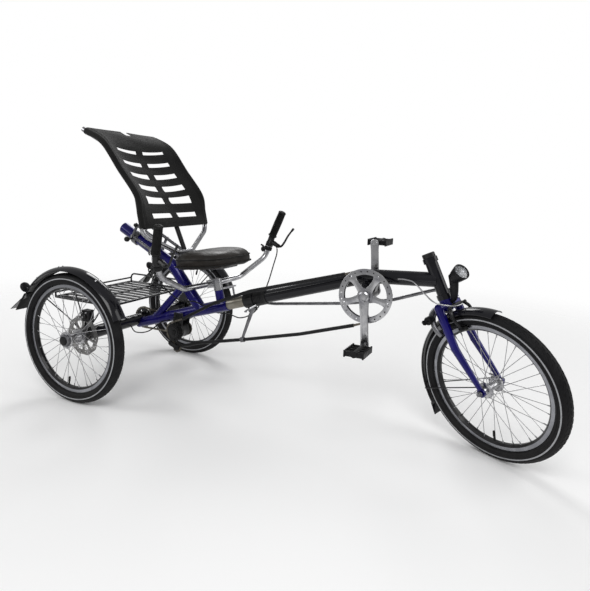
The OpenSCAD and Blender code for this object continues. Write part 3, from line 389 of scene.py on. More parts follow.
def slab(name, outline, thick, y=0.0, bevel=0.0):   # plate in the XZ plane from its outline
    clearAll()
    ops.mesh.primitive_circle_add(vertices=len(outline), fill_type="NGON", radius=1)
    piece = called(name)
    for vertex, (x, z) in zip(piece.data.vertices, outline): vertex.co = (x, y - thick / 2, z)
    editing()
    ops.mesh.extrude_region_move(TRANSFORM_OT_translate={"value": (0, thick, 0)})
    ops.mesh.select_all(action="SELECT")
    ops.mesh.normals_make_consistent(inside=False)
    done(piece)
    if bevel: applied(piece, "BEVEL", width=bevel, segments=2, limit_method="ANGLE", angle_limit=rad(50))
    return piece

def smoothPath(points, steps=6):   # a smooth line through the points
    points = [Vector(p) for p in points]
    path = []
    for i in range(len(points) - 1):
        a, b, c, d = points[max(0, i - 1)], points[i], points[i + 1], points[min(len(points) - 1, i + 2)]
        for j in range(steps):
            t = j / steps
            path.append(0.5 * (2 * b + (c - a) * t + (2 * a - 5 * b + 4 * c - d) * t * t + (3 * b - a - 3 * c + d) * t ** 3))
    return path + [points[-1]]

def rod(name, points, radius, radii=None, sides=10, cyclic=False):   # round bar along points
    curve = bpy.data.curves.new(name, "CURVE")
    curve.dimensions, curve.bevel_depth, curve.use_fill_caps = "3D", radius, True
    curve.bevel_resolution = max(0, sides // 4 - 1)
    line = curve.splines.new("POLY")
    line.points.add(len(points) - 1)
    for i, p in enumerate(points):
        line.points[i].co = (*p, 1)
        if radii: line.points[i].radius = radii[i]
    line.use_cyclic_u = cyclic
    piece = bpy.data.objects.new(name, curve)
    scene.collection.objects.link(piece)
    choose(piece)
    ops.object.convert(target="MESH")
    return called(name)

def joined(name, pieces):
    clearAll()
    for piece in pieces: piece.select_set(True)
    bpy.context.view_layer.objects.active = pieces[0]
    if len(pieces) > 1: ops.object.join()
    return called(name)

def moved(piece, place):
    piece.data.transform(place)
    return piece

def repeated(name, piece, places):   # copies of one modelled piece as one mesh
    work = bmesh.new()
    for place in places:
        copy = piece.data.copy(); copy.transform(place)
        work.from_mesh(copy); bpy.data.meshes.remove(copy)
    mesh = bpy.data.meshes.new(name)
    work.to_mesh(mesh); work.free()
    result = bpy.data.objects.new(name, mesh)
    scene.collection.objects.link(result)
    bpy.data.objects.remove(piece)
    return result

def drilled(piece, tools):   # cuts the tools out of the piece
    tool = joined("tools", tools)
    applied(piece, "BOOLEAN", operation="DIFFERENCE", object=tool, solver="EXACT")
    bpy.data.objects.remove(tool)
    return piece

# sets a piece in place, with its finish, the body that carries it and the node that it stands for
def settle(piece, place, coat, body, replaces=(), smooth=30, name=None):
    if place is not None: piece.data.transform(place)
    piece.data.materials.clear(); piece.data.materials.append(coats[coat])
    choose(piece)
    ops.object.shade_smooth_by_angle(angle=rad(smooth))
    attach(piece, body)
    if replaces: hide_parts(*replaces)
    if name: piece.name = name
    return piece

print("seat cushion")
cushionValues = {"halfWidth": 165, "halfLength": 115, "roundness": 3.2, "puff": 0.005, "voxel": 0.005, "piping": 2.6}

def cushionRing(inset, height, v, count=64, dip=0.0):
    ring = []
    for i in range(count):
        t = 2 * pi * i / count
        a, b, n = v["halfLength"] - inset, v["halfWidth"] - inset, v["roundness"]
        r = (abs(cos(t) / a) ** n + abs(sin(t) / b) ** n) ** (-1 / n)
        x, y = r * cos(t), r * sin(t)
        ring.append(Vector((x, y, height - dip * (x / a) ** 2 * (1 if x > 0 else 0.2))))
    return ring

def makeCushion(v):
    clearAll()
    ops.mesh.primitive_circle_add(vertices=64, fill_type="NGON", radius=1)
    piece = called("cushion")
    for vertex, place in zip(piece.data.vertices, cushionRing(14, 1.5, v)): vertex.co = place
    editing()
    def turnOf(place): return atan2(place.y, place.x)
    for inset, height, dip in ((5, 3, 0), (2, 12, 0), (1, 27, 1), (4, 42, 1), (13, 53, 2), (32, 61, 3), (66, 65, 4)):
        ops.mesh.extrude_region_move(TRANSFORM_OT_translate={"value": (0, 0, 0)})
        work = bmesh.from_edit_mesh(piece.data)
        ring = cushionRing(inset, height, v, dip=dip)
        chosen = sorted([p for p in work.verts if p.select], key=lambda p: turnOf(p.co))
        # each new ring takes its inset
        for vertex, place in zip(chosen, sorted(ring, key=turnOf)): vertex.co = place
        bmesh.update_edit_mesh(piece.data)
    ops.mesh.select_all(action="SELECT")
    ops.mesh.normals_make_consistent(inside=False)
    done(piece)
    moved(piece, cushionPlace)
    applied(piece, "REMESH", mode="VOXEL", voxel_size=v["voxel"])
    start = [p.co.copy() for p in piece.data.vertices]
    cloth = piece.modifiers.new("filling", "CLOTH")
    cloth.settings.use_pressure, cloth.settings.uniform_pressure_force = True, 4
    cloth.settings.effector_weights.gravity = 0
    cloth.settings.tension_stiffness = cloth.settings.compression_stiffness = 25
    for number in range(1, 21): scene.frame_set(number)
    choose(piece); ops.object.modifier_apply(modifier="filling")
    scene.frame_set(1)
    for vertex, was in zip(piece.data.vertices, start):
        shift = vertex.co - was
        if shift.length > v["puff"]: vertex.co = was + shift.normalized() * v["puff"]
    low = cushionPlace.inverted()
    for vertex in piece.data.vertices:   # flat where it rests on the pan
        local = low @ vertex.co
        if local.z < 1.0: local.z = 1.0; vertex.co = cushionPlace @ local
    applied(piece, "SMOOTH", factor=0.5, iterations=6)
    applied(piece, "SUBSURF", levels=1, render_levels=1)
    settle(piece, None, "seatHide", "seat", ("seat_cushion",), smooth=60)
    welt = [rod("weltLow", cushionRing(0.5, 13, v), v["piping"], sides=8, cyclic=True),
            rod("weltHigh", cushionRing(3, 40, v, dip=2), 1.8, sides=8, cyclic=True)]
    settle(joined("cushion_piping", welt), cushionPlace, "gripRubber", "seat", smooth=60)

makeCushion(cushionValues)

print("backrest sling")
slingValues = {"line": [(208, 672), (196, 725), (178, 800), (96, 898), (14, 996), (-80, 1041)], "offset": 11.6,
        "halfWidth": 205, "sag": 44,
               "slots": [(365, 382), (302, 324), (242, 267), (176, 207), (98, 143), (38, 60)], "inner": 18,
               "outer": 142, "thick": 2.4}

def slingCurve(v):
    points = [Vector((x, 0, z)) for x, z in v["line"]]
    out = []
    for i, p in enumerate(points):
        a, b = points[max(0, i - 1)], points[min(len(points) - 1, i + 1)]
        out.append(p + Vector((b.z - a.z, 0, a.x - b.x)).normalized() * v["offset"])
    return smoothPath(out, 12)

def alongCurve(path):
    reach = [0]
    for a, b in zip(path, path[1:]): reach.append(reach[-1] + (b - a).length)
    return reach

def pointAt(path, reach, s):
    for i in range(1, len(path)):
        if s <= reach[i] or i == len(path) - 1:
            t = (s - reach[i - 1]) / max(1e-6, reach[i] - reach[i - 1])
            return path[i - 1].lerp(path[i], t), (path[i] - path[i - 1]).normalized()

def ease(t):
    t = max(0, min(1, t)); return t * t * (3 - 2 * t)

def slingPoint(v, path, reach, s, y):
    p, way = pointAt(path, reach, s)
    sag = v["sag"] * ease(s / 130) * ease((reach[-1] - 24 - s) / 150)
    back = Vector((-way.z, 0, way.x))
    hem = v["offset"] * 0.55 * max(0, (abs(y) - 196) / 12) ** 2
    pull = 1 - (abs(y) / v["halfWidth"]) ** 2.2
    ripple = 1.1 * sin(s * 0.11 + y * 0.02) * (1 - abs(y) / 230)
    return p + back * (sag * max(0, pull) + hem + ripple * ease(s / 60)) + Vector((0, y, 0))

def makeSling(v):
    path = slingCurve(v); reach = alongCurve(path)
    rows = [0, 8, 24, 33]
    for low, high in reversed(v["slots"]): rows += [low - 3, low, (low + high) / 2, high, high + 3]
    rows += [80, 92, 158, 170, 222, 235, 280, 292, 332, 345, 395, 410, 425, 440, 455, 468, 478, 488, reach[-1]]
    rows = sorted(set(round(r, 2) for r in rows))
    columns = [0, v["inner"] - 4, v["inner"], 34, 52, 70, 88, 106, 124, 140, v["outer"] - 4, v["outer"],
            v["outer"] + 6, 170, 182, 193, 201, 207, 211]
    columns = sorted(set([-c for c in columns] + columns))
    clearAll()
    ops.mesh.primitive_grid_add(x_subdivisions=len(columns) - 1, y_subdivisions=len(rows) - 1, size=1)
    piece = called("sling")
    perRow = len(columns)
    uv = piece.data.uv_layers.active
    for index, vertex in enumerate(piece.data.vertices):
        y, s = columns[index % perRow], rows[index // perRow]
        vertex.co = slingPoint(v, path, reach, s, y)
    for loop in piece.data.loops:
        index = loop.vertex_index
        uv.data[loop.index].uv = (columns[index % perRow] / 1000, rows[index // perRow] / 1000)
    def isOpen(s, y):
        if s > 468 and abs(y) < v["inner"]: return True   # notch over the top bar
        return any(low < s < high for low, high in v["slots"]) and v["inner"] < abs(y) < v["outer"]
    editing(select=False)
    ops.mesh.select_mode(type="FACE")
    ops.mesh.select_all(action="DESELECT")
    work = bmesh.from_edit_mesh(piece.data)
    for face in work.faces:
        ids = [p.index for p in face.verts]
        face.select_set(isOpen(sum(rows[i // perRow] for i in ids) / 4, sum(columns[i % perRow] for i in ids) / 4))
    bmesh.update_edit_mesh(piece.data)
    ops.mesh.delete(type="FACE")
    ops.mesh.select_mode(type="VERT")
    done(piece)
    applied(piece, "SUBSURF", levels=1, render_levels=1)
    applied(piece, "SOLIDIFY", thickness=v["thick"], offset=0)
    editing(); ops.mesh.normals_make_consistent(inside=False); done(piece)
    settle(piece, base, "slingMesh", "seat", ("backrest_sling",), smooth=60)
    hems = []
    for side in (-1, 1):   # sleeves round the side tubes, bound edges and stitching beside them
        sleeve = [Vector((x, side * 205, z)) for x, z in [(206, 676), (194, 730), (178, 800), (96, 898), (14, 996),
                (-74, 1038)]]
        hems.append(rod("sleeve", smoothPath(sleeve, 8), 12.6, sides=16))
    for low, high in v["slots"]:   # bound lips round each slot
        for side in (-1, 1):
            loop = [(low, v["inner"]), (low, v["outer"]), (high, v["outer"]), (high, v["inner"])]
            line = []
            for (s0, y0), (s1, y1) in zip(loop, loop[1:] + loop[:1]):
                count = 9 if y0 != y1 else 2
                line += [slingPoint(v, path, reach, s0 + (s1 - s0) * k / count,
                        side * (y0 + (y1 - y0) * k / count)) for k in range(count)]
            hems.append(rod("lip", line, 1.7, sides=8, cyclic=True))
    for s in (3, 20):
        hems.append(rod("edgeHem", [slingPoint(v, path, reach, s, y) + Vector((0.8, 0, 0)) for y in range(-204, 205,
                12)], 1.9 if s < 10 else 0.9, sides=8))
    for side in (-1, 1):
        hems.append(rod("topHem", [slingPoint(v, path, reach, reach[-1] - 3, side * y) for y in range(18, 205, 12)],
                2.0, sides=8))
    hemPiece = settle(joined("sling_hems", hems), base, "slingMesh", "seat", smooth=50)
    seed = block("stitch", (3.4, 0.8, 0.8), bevel=0.25, segments=1)
    places = []
    for side in (-1, 1):
        for y in (186, 190):
            s = 14
            while s < reach[-1] - 8:
                p = slingPoint(v, path, reach, s, side * y); q = slingPoint(v, path, reach, s + 2, side * y)
                way = (q - p).normalized(); out = Vector((way.z, 0, -way.x))
                places.append(on(*(p + out * 1.5)) @ axes(way, out.cross(way), out))
                s += 5.2
    thread = settle(repeated("sling_stitches", seed, places), base, "gripRubber", "seat", smooth=40)

makeSling(slingValues)

print("wheels")
tyreValues = {"mid": 228.5, "section": 24.5, "tread": 23.2, "lugs": 72, "lugSize": (15, 8.6, 2.6), "stripAngle": 80}

def makeTyre(wheel, v):
    profile = []
    for degrees in range(-128, 129, 8):
        t = rad(degrees)
        radius = v["tread"] if abs(degrees) < 44 else v["section"] - 0.3
        profile.append((v["mid"] + radius * cos(t), (v["section"] - 0.4) * sin(t)))
    profile += [(211.2, 12.4), (209.8, 9.4), (206.0, 9.4), (206.0, -9.4), (209.8, -9.4), (211.2, -12.4)]
    body = turned("tyreBody", profile, 96)
    lug = block("lug", v["lugSize"], bevel=0.8, segments=1)
    places = []
    for i in range(v["lugs"]):
        for angle, skew, shift in ((0, 0, 0), (26, 16, 0.5), (-26, -16, 0.5), (47, 8, 0), (-47, -8, 0)):
            turnTo = about("Z", (i + shift) * 360 / v["lugs"])
            out = on(v["mid"], 0, 0) @ about("Y", -angle) @ on(v["section"] - 1.6, 0, 0)
            places.append(turnTo @ out @ about("X", skew) @ about("Y", 90) @ about("Z", 90))
    treads = repeated("lugs", lug, places)
    piece = joined(wheel + "_tyre_tread", [body, treads])
    settle(piece, wheelPlace[wheel] @ across, "tyreRubber", wheelBody[wheel], (wheel + "_tyre",), smooth=35)
    strips = []
    for side in (-1, 1):   # reflecting band and the raised bead lines beside it
        for angle, half, high in ((v["stripAngle"], 2.3, 0.5), (106, 0.7, 0.7), (64, 0.6, 0.5)):
            ring = []
            for d, e in ((-half, -0.3), (-half * 0.8, high), (half * 0.8, high), (half, -0.3)):
                t = rad(angle) + d / v["section"]
                r = v["section"] - 0.3 + e
                ring.append((v["mid"] + r * cos(t), side * r * sin(t)))
            strips.append((angle, turned("band", ring, 96)))
    settle(joined(wheel + "_reflex_band", [s for a, s in strips if a == v["stripAngle"]]), wheelPlace[wheel] @ across,
            "reflexBand", wheelBody[wheel], smooth=40)
    settle(joined(wheel + "_bead_lines", [s for a, s in strips if a != v["stripAngle"]]), wheelPlace[wheel] @ across,
            "tyreRubber", wheelBody[wheel], smooth=40)

rimValues = {"inner": 192, "spokes": 36, "valveAngle": {"front": 250, "right": 262, "left": 75}}

def makeRimParts(wheel, v):
    liner = turned("liner", [(191.4, -5.2), (197.1, -12.35), (198.3, -12.4), (198.3, -11.5), (192.4, -4.6),
            (192.4, 4.6), (198.3, 11.5), (198.3, 12.4), (197.1, 12.35), (191.4, 5.2)], 96)
    settle(liner, wheelPlace[wheel] @ across, "blackAlloy", wheelBody[wheel], name=wheel + "_rim_inner")
    nipple = turned("nipple", [(0, 0), (1.9, 0), (2.3, 2), (1.9, 7), (1.4, 12), (0, 12)], 8)
    places = []
    for side in (-1, 1):
        for i in range(v["spokes"] // 2):
            outer = 1 if i % 2 == 0 else -1
            at = i * 20 + (10 if side > 0 else 0) + outer * 40
            turn = about("Y", -at) @ on(v["inner"] + 0.5, side * (3.4 + outer * 1.3), 0) @ about("Y", -90)
            places.append(turn)
    settle(repeated(wheel + "_nipples", nipple, places), wheelPlace[wheel], "spokeSteel", wheelBody[wheel])
    valve = turned("valve", [(0, 0), (3.2, 0), (3.2, 14), (4.3, 15), (4.3, 32), (3.2, 35), (0, 35)], 12)
    settle(valve, wheelPlace[wheel] @ about("Y", -v["valveAngle"][wheel]) @ on(193, 0, 0) @ about("Y", -90),
            "mouldedBlack", wheelBody[wheel], name=wheel + "_valve")

rearHub = {"flange": 32, "discY": 52, "bore": 10.4, "capR": 17}

def makeRearHub(wheel, v):
    s = -1 if wheel == "right" else 1
    b = v["bore"]
    shell = turned("shell", [(b, -38), (15, -38), (16, -33), (v["flange"], -31.6), (v["flange"] + 0.3, -28.4),
            (22, -27), (19, -18), (18.4, 0), (19, 18), (22, 27),
                             (v["flange"] + 0.3, 28.4), (v["flange"], 31.6), (16, 33), (15, 38), (b, 38)], 48)
    outer = turned("cap", [(0, 33.1), (v["capR"] - 3, 33.1), (v["capR"] - 3, 37), (v["capR"], 38), (v["capR"], 45),
            (v["capR"] - 2, 48), (v["capR"] - 7, 49), (0, 49)], 40)
    ring = turned("ring", [(17.4, 33), (24, 33), (24.4, 36), (22, 41), (17.4, 42.5)], 40)
    disc = discPlate()
    carrier = turned("carrier", [(b, 33), (24, 33), (25, 36), (25, 50), (22, 53), (b, 53)], 40)
    hub = joined("hubBody", [moved(shell, across)])
    settle(hub, wheelPlace[wheel], "polishedAlloy", wheelBody[wheel], (wheel + "_hub",),
            name=wheel + "_hub_shell")
    for part, coat, label, side in ((outer, "mouldedBlack", "_hub_cap", s), (ring, "castAlloy", "_hub_ring", s),
            (carrier, "castAlloy", "_disc_carrier", -s)):
        place = wheelPlace[wheel] @ (across if side > 0 else about("X", 90))
        settle(part, place, coat, wheelBody[wheel], name=wheel + label)
    settle(disc, wheelPlace[wheel] @ on(0, -s * v["discY"]), "discSteel", wheelBody[wheel],
            name=wheel + "_brake_disc")

def discPlate():   # petal disc: wavy ring, five arms and rows of slots
    count = 160
    outline = []
    for i in range(count):
        t = 2 * pi * i / count
        outline.append(polar(78 + 1.9 * cos(10 * t), t))
    plate = slab("disc", outline, 2.0)
    cutters = []
    for i in range(10):
        t = 2 * pi * i / 10
        hole = [polar(r, t + a) for a, r in ((-0.24, 58), (-0.1, 59.5), (0.1, 59.5), (0.24, 58), (0.2, 33), (0.0, 31),
                (-0.2, 33))]
        if i % 2 == 0: hole = [polar(r, t + a) for a, r in ((-0.19, 57), (0.0, 59.5), (0.19, 57), (0.15, 40),
                (0.0, 36), (-0.15, 40))]
        cutters.append(slab("window", hole, 6))
        for k, r in enumerate((65, 70.5, 74.5)):
            u = t + (k - 1) * 0.17
            drill = turned("drill", [(0, -4), (2.6, -4), (2.6, 4), (0, 4)], 10)
            cutters.append(moved(drill, on(r * cos(u), 0, r * sin(u)) @ across))
    return drilled(plate, cutters)

for wheel in ("front", "right", "left"):
    makeTyre(wheel, tyreValues)
    makeRimParts(wheel, rimValues)
for wheel in ("right", "left"): makeRearHub(wheel, rearHub)

quick = [turned("endNut", [(0, 57), (9, 57), (9, 61), (7, 66), (0, 67)], 24),
        turned("lowNut", [(0, -57), (9, -57), (9, -61), (6, -68), (0, -68)], 24)]
lever = rod("lever", smoothPath([(0, 64, 0), (-6, 68, 3), (-20, 67, 12), (-40, 60, 24)], 5), 3.2, sides=8)
settle(joined("front_skewer", [moved(p, across) for p in quick] + [lever]), wheelPlace["front"], "castAlloy", "fork")
half = [(6.2, 43), (9, 43), (10, 40), (12.5, 37), (13.2, 32.5), (25, 30.2), (26.2, 29.4), (26.2, 26.8), (25, 26),
        (15.5, 23.5), (13.4, 18), (12.4, 6)]
shell = turned("shell", half + [(r, -h) for r, h in reversed(half)], 48)
settle(moved(shell, across), wheelPlace["front"], "polishedAlloy", "front_wheel", ("front_hub",),
        name="front_hub_shell")

print("drive train")
chainValues = {"pitch": 12.7, "stretch": 1.38, "runs": {
    "front": (-50, [(1004, 386), (1040, 494.3, 88.2, 1), (962, 561)], False),
    "rear": (-36, [(270, 300), (228, 238, 41.55, 1), (206, 186, 14.55, -1), (238, 170, 14.55, 1), (262, 182)], False),
    "left": (36, [(228, 238, 27.55, 1), (0, 253, 45.55, 1)], True)}}

def chainPath(stops, closed):   # straight runs and arcs round the wheels, as points
    circles = [(*c, 0, 1)[:4] if len(c) == 2 else c for c in stops]
    count, path = len(circles), []
    def way(a, b):
        dx, dz = b[0] - a[0], b[1] - a[1]
        return atan2(dz, dx) - asin((b[3] * b[2] - a[3] * a[2]) / hypot(dx, dz))
    def off(c, t): return Vector((c[0] + c[3] * c[2] * sin(t), 0, c[1] - c[3] * c[2] * cos(t)))
    for i in range(count if closed else count - 1):
        a, b = circles[i], circles[(i + 1) % count]
        t = way(a, b)
        path += [off(a, t), off(b, t)]
        if i < count - 2 or closed:
            turnTo = way(b, circles[(i + 2) % count])
            sweep = (turnTo - t) % (2 * pi) if b[3] > 0 else -((t - turnTo) % (2 * pi))
            path += [off(b, t + sweep * k / 24) for k in range(1, 24)]
    return path

def makeChain(v):
    def link(width, name):
        sides = []
        for y in (-width, width):
            outline = []
            for i in range(8):
                a = rad(90 + i * 180 / 7); outline.append((-4.2 + 3.6 * cos(a), 3.6 * sin(a)))
            for i in range(8):
                a = rad(-90 + i * 180 / 7); outline.append((4.2 + 3.6 * cos(a), 3.6 * sin(a)))
            sides.append(slab(name, outline, 1.0, y))
        pin = turned("pin", [(0, -width - 1), (2.3, -width - 1), (2.3, width + 1), (0, width + 1)], 8)
        sides.append(moved(pin, on(-4.2, 0, 0) @ across))
        return joined(name, sides)
    placesByKind = ([], [])
    for y, stops, closed in v["runs"].values():
        path = chainPath(stops, closed)
        if closed: path.append(path[0])
        reach = alongCurve(path)
        total = max(2, round(reach[-1] / v["pitch"]))
        for i in range(total):
            p, w = pointAt(path, reach, (i + 0.5) * reach[-1] / total)
            fit, long = reach[-1] / total / v["pitch"], (1, 0, 0)
            sideways = Vector((0, 1, 0))
            place = on(*(p + Vector((0, y, 0)))) @ axes(w, sideways, w.cross(sideways))
            placesByKind[i % 2].append(place @ Matrix.Scale(fit, 4, long) @ Matrix.Scale(v["stretch"], 4, long))
    wide = repeated("wide", link(3.0, "wideLink"), placesByKind[0])
    narrow = repeated("narrow", link(1.9, "narrowLink"), placesByKind[1])
    settle(joined("chain_links", [wide, narrow]), base, "chainSteel", "frame", ("drive_chain",))

makeChain(chainValues)

def toothed(name, teeth, root, tip, thick, hole, windows=0):   # sprocket with a hole
    count = teeth * 6
    outline = []
    for i in range(count):
        r = (root, root + 0.4, (root + tip) / 2, tip, tip, (root + tip) / 2)[i % 6]
        a = 2 * pi * i / count
        outline.append(polar(r, a))
    plate = slab(name, outline, thick)
    tools = [axled("bore", [(0, -9), (hole, -9), (hole, 9), (0, 9)], 40)]
    for i in range(windows):
        a = 2 * pi * i / windows
        r = (hole + root) / 2
        tools.append(axled("window", [(0, -9), ((root - hole) * 0.26, -9), ((root - hole) * 0.26, 9), (0, 9)], 16,
                place=on(r * cos(a), 0, r * sin(a))))
    return drilled(plate, tools)

ringValues = {"y": -50, "guardY": -57, "teeth": 44, "root": 83.4, "tip": 88.6, "hole": 73, "guard": (75, 93.5),
        "holes": 24, "bolts": 5}

def makeChainring(v):
    parts = [moved(toothed("ring", v["teeth"], v["root"], v["tip"], 2.6, v["hole"]), on(0, v["y"]))]
    low, high = v["guard"]
    guard = turned("guard", [(low, -1.1), (high - 2, -1.1), (high, -0.4), (high, 1.2), (high - 2.5, 1.4),
            (high - 5, 0.9), (low + 4, 0.9), (low, 0.4)], 96)
    drills = [axled("drill", [(0, -6), (2.7, -6), (2.7, 6), (0, 6)], 12,
            place=about("Y", 360 * i / v["holes"] + 7) @ on(0, 0, 84.5)) for i in range(v["holes"])]
    guard = drilled(moved(guard, across), drills)
    parts.append(moved(guard, on(0, v["guardY"])))
    for i in range(v["bolts"]):
        turn = about("Y", i * 72 + 36)
        arm = slab("arm", [(-17, 14), (17, 14), (13, 24), (10.5, 36), (9.5, 50), (11, 64), (16, 76), (13, 82),
                (0, 84), (-13, 82), (-16, 76), (-11, 64), (-9.5, 50), (-10.5, 36), (-13, 24)], 6, v["y"] - 4.6, 1.6)
        parts.append(moved(arm, turn))
        bolt = turned("bolt", [(0, -10.5), (3.2, -10.5), (4.8, -9.4), (5.2, -8.2), (5.2, 2.4), (4.4, 3.2), (2, 3.2),
                (2, 1.4), (0, 1.4)], 16)
        parts.append(moved(bolt, turn @ on(0, v["y"], 80) @ across))
    boss = turned("boss", [(13, -10), (26, -9), (27.5, -7), (27.5, -2), (24, 0), (13, 0)], 40)
    parts.append(moved(boss, on(0, v["y"]) @ across))
    settle(joined("chainring_set", parts), crankPlace, "polishedAlloy", "cranks", ("chainring",))

makeChainring(ringValues)

crankValues = {"length": 170, "rightY": -69, "leftY": 63}

def makeCranks(v):
    parts = []
    for side, y in ((1, v["leftY"]), (-1, v["rightY"])):
        outline = [(-18, -5), (-16, 22), (-13.6, 70), (-13, 120), (-13.2, 150), (-14.4, 163), (-14.4, 172),
                (-10, 181), (0, 184), (10, 181), (14.4, 172), (14.4, 163), (13.2, 150), (13, 120), (13.6, 70),
                (16, 22), (18, -5), (12, -15), (0, -18), (-12, -15)]
        arm = slab("arm", [(x, side * z) for x, z in outline], 12, y, 2.2)
        groove = slab("groove", [(x, side * z) for x, z in [(-7, 28), (-6, 138), (0, 146), (6, 138), (7, 28),
                (0, 20)]], 4, y + (6.4 if side > 0 else -6.4))
        parts.append(drilled(arm, [groove]))
        cap = turned("cap", [(0, 0), (17, 0), (18.5, 1.5), (18.5, 12), (14, 14.5), (13, 13.5), (11, 13.5), (10, 15.5),
                (0, 16)], 32)
        parts.append(moved(cap, on(0, y - side * 6.5) @ (across if side > 0 else about("X", 90))))
        eye = turned("eye", [(0, -5.6), (4.4, -5.6), (4.8, -7.4), (9, -7.4), (9.6, -6.6), (9.6, 6.6), (9, 7.4),
                (4.8, 7.4), (4.4, 5.6), (0, 5.6)], 24)
        parts.append(moved(eye, on(0, y, side * v["length"]) @ across))
    axle = turned("axle", [(0, -66), (9, -66), (12, -40), (12, 40), (9, 60), (0, 60)], 24)
    parts.append(moved(axle, across))
    settle(joined("crank_pair", parts), crankPlace, "polishedAlloy", "cranks", ("crank_arms",))

makeCranks(crankValues)

pedalValues = {"right": (-1, 69), "left": (1, 63), "reach": 170}

def makePedal(which, v):
    side, armY = v[which]
    start = armY + 9
    lean = rad(trike["crankLean"])
    place = base @ on(trike["crankX"] + side * v["reach"] * sin(lean), 0,
            trike["crankZ"] + side * v["reach"] * cos(lean))
    place = place @ on(0, side * (start + 62))
    black, steel = [], []
    barrel = turned("barrel", [(0, -47), (10, -47), (11.5, -44), (9.5, -34), (9, 0), (9.5, 34), (11.5, 44), (9, 47),
            (0, 47)], 24)
    black.append(moved(barrel, across))
    for x in (-1, 1):
        edge = []
        for i in range(13):
            y = -45 + i * 7.5
            edge += [(y - 1.9, 11.5), (y + 1.9, 11.5)] if i % 2 == 0 else [(y - 1.9, 8.6), (y + 1.9, 8.6)]
        outline = edge + [(y, -z) for y, z in reversed(edge)]
        cage = slab("cage", outline, 5.5, 0, 0.5)
        black.append(moved(cage, on(x * 31.5) @ about("Z", 90)))
        for y in (-22, 0, 22): black.append(block("rib", (24, 4.5, 13), (x * 18, y, 0), 1.2))
    for y in (-42, 42): black.append(block("endPlate", (66, 6.5, 18), (0, y, 0), 2.2))
    spindle = turned("spindle", [(0, 44), (7.5, 44), (7.5, 49), (6.2, 50), (6.2, 60), (0, 60)], 20)
    steel.append(moved(spindle, about("X", 90) if side > 0 else across))
    settle(joined("pedal_" + which + "_body", black), place, "mouldedBlack", "pedal_" + which,
            ("pedal_" + which,))
    settle(joined("pedal_" + which + "_spindle", steel), place, "spokeSteel", "pedal_" + which)

for which in ("right", "left"): makePedal(which, pedalValues)

driveValues = {"cogs": [(38, 22), (34, 20), (30, 17), (26, 15)], "firstY": -36, "step": -3.5,
        "jockeys": [(206, 186), (238, 170)]}

def makeDrive(v):
    parts = []
    for i, (radius, teeth) in enumerate(v["cogs"]):
        parts.append(moved(toothed("cog", teeth, radius - 1.6, radius + 2.2, 1.8, 21 if i < 3 else 14),
                on(0, v["firstY"] + v["step"] * i)))
    drum = turned("drum", [(7.5, -24), (28, -24), (31, -21), (31.4, -16), (30, -12), (30, 12), (31.4, 16), (31, 21),
            (28, 24), (7.5, 24)], 48)
    side = turned("side", [(7.5, -56), (10, -56), (12, -50), (21, -50), (22, -30), (7.5, -30)], 32)
    out = toothed("outCog", 14, 22.5, 26.2, 3, 8)
    parts += [moved(drum, across), moved(side, across), moved(out, on(0, 36))]
    axle = turned("axle", [(0, -60), (5, -60), (5, -56), (7.4, -55), (7.4, 55), (5, 56), (5, 60), (0, 60)], 20)
    parts.append(moved(axle, across))
    body = joined("gear_hub", parts)
    moved(body, on(228, 0, 238))
    plates = [slab("plate", [(196, 178), (214, 176), (251, 225), (262, 318), (215, 318), (205, 240)], 4, -27, 1),
            slab("plate", [(212, 224), (244, 224), (262, 318), (215, 318)], 4, 27, 1)]
    bolts = [moved(turned("bolt", [(0, 0), (6, 0), (6, 4), (4.5, 5.5), (0, 5.5)], 6),
            on(x, -29, z) @ about("X", 90)) for x, z in ((250, 300), (224, 302), (206, 186))]
    bolts += [axled("bolt", [(0, 0), (6, 0), (6, 4), (4.5, 5.5), (0, 5.5)], 6, place=on(x, 29, z)) for x,
            z in ((250, 300), (224, 302))]
    big = moved(toothed("axleCog", 24, 40.5, 44.2, 3, 25.4, 6), on(0, 36, trike["axleZ"]))
    settle(joined("mid_gear", [body, big] + plates + bolts), base, "blackAlloy", "frame",
            ("mid_drive",))
    jockeys = []
    for x, z in v["jockeys"]:
        wheelPiece = toothed("jockey", 11, 9.6, 12.4, 2.4, 4.2)
        cover = turned("cover", [(3, -3), (7, -3), (7.4, -1.4), (7.4, 1.4), (7, 3), (3, 3)], 20)
        pin = turned("pin", [(0, -9.5), (4, -9.5), (4, -8), (2.8, -7.6), (2.8, 7.6), (4, 8), (4, 9.5), (0, 9.5)], 16)
        jockeys += [moved(wheelPiece, on(x, -36, z)), moved(cover, on(x, -36, z) @ across),
                moved(pin, on(x, -36, z) @ across)]
    for y in (-43, -29.2):
        jockeys.append(slab("cage", [(196, 184), (198, 192), (205, 197), (213, 194), (247, 178), (250, 170),
                (246, 161), (238, 158), (230, 160), (222, 170), (203, 176)], 1.8, y, 0.5))
    jockeys.append(block("body", (24, 26, 22), (212, -30, 206), 5))
    jockeys.append(rod("arm", smoothPath([(214, -28, 210), (226, -26, 222), (236, -25, 236)], 4), 5, sides=8))
    settle(joined("rear_changer", jockeys), base, "blackAlloy", "frame", ("derailleur",))

makeDrive(driveValues)

print("controls")
barPath = [Vector(p) for p in ((-30, 0, 41), (-28, 150, 45), (18, 275, 110), (54, 300, 189), (118, 313, 274))]
controlValues = {"gripR": 16, "flangeR": 18.5, "barR": 11.2, "leverDrop": 34, "shifterDrop": 52,
        "lever": [(46, -14), (64, -17), (84, -4), (112, 22), (146, 46)]}

def sided(p, s): return Vector((p[0], s * p[1], p[2]))

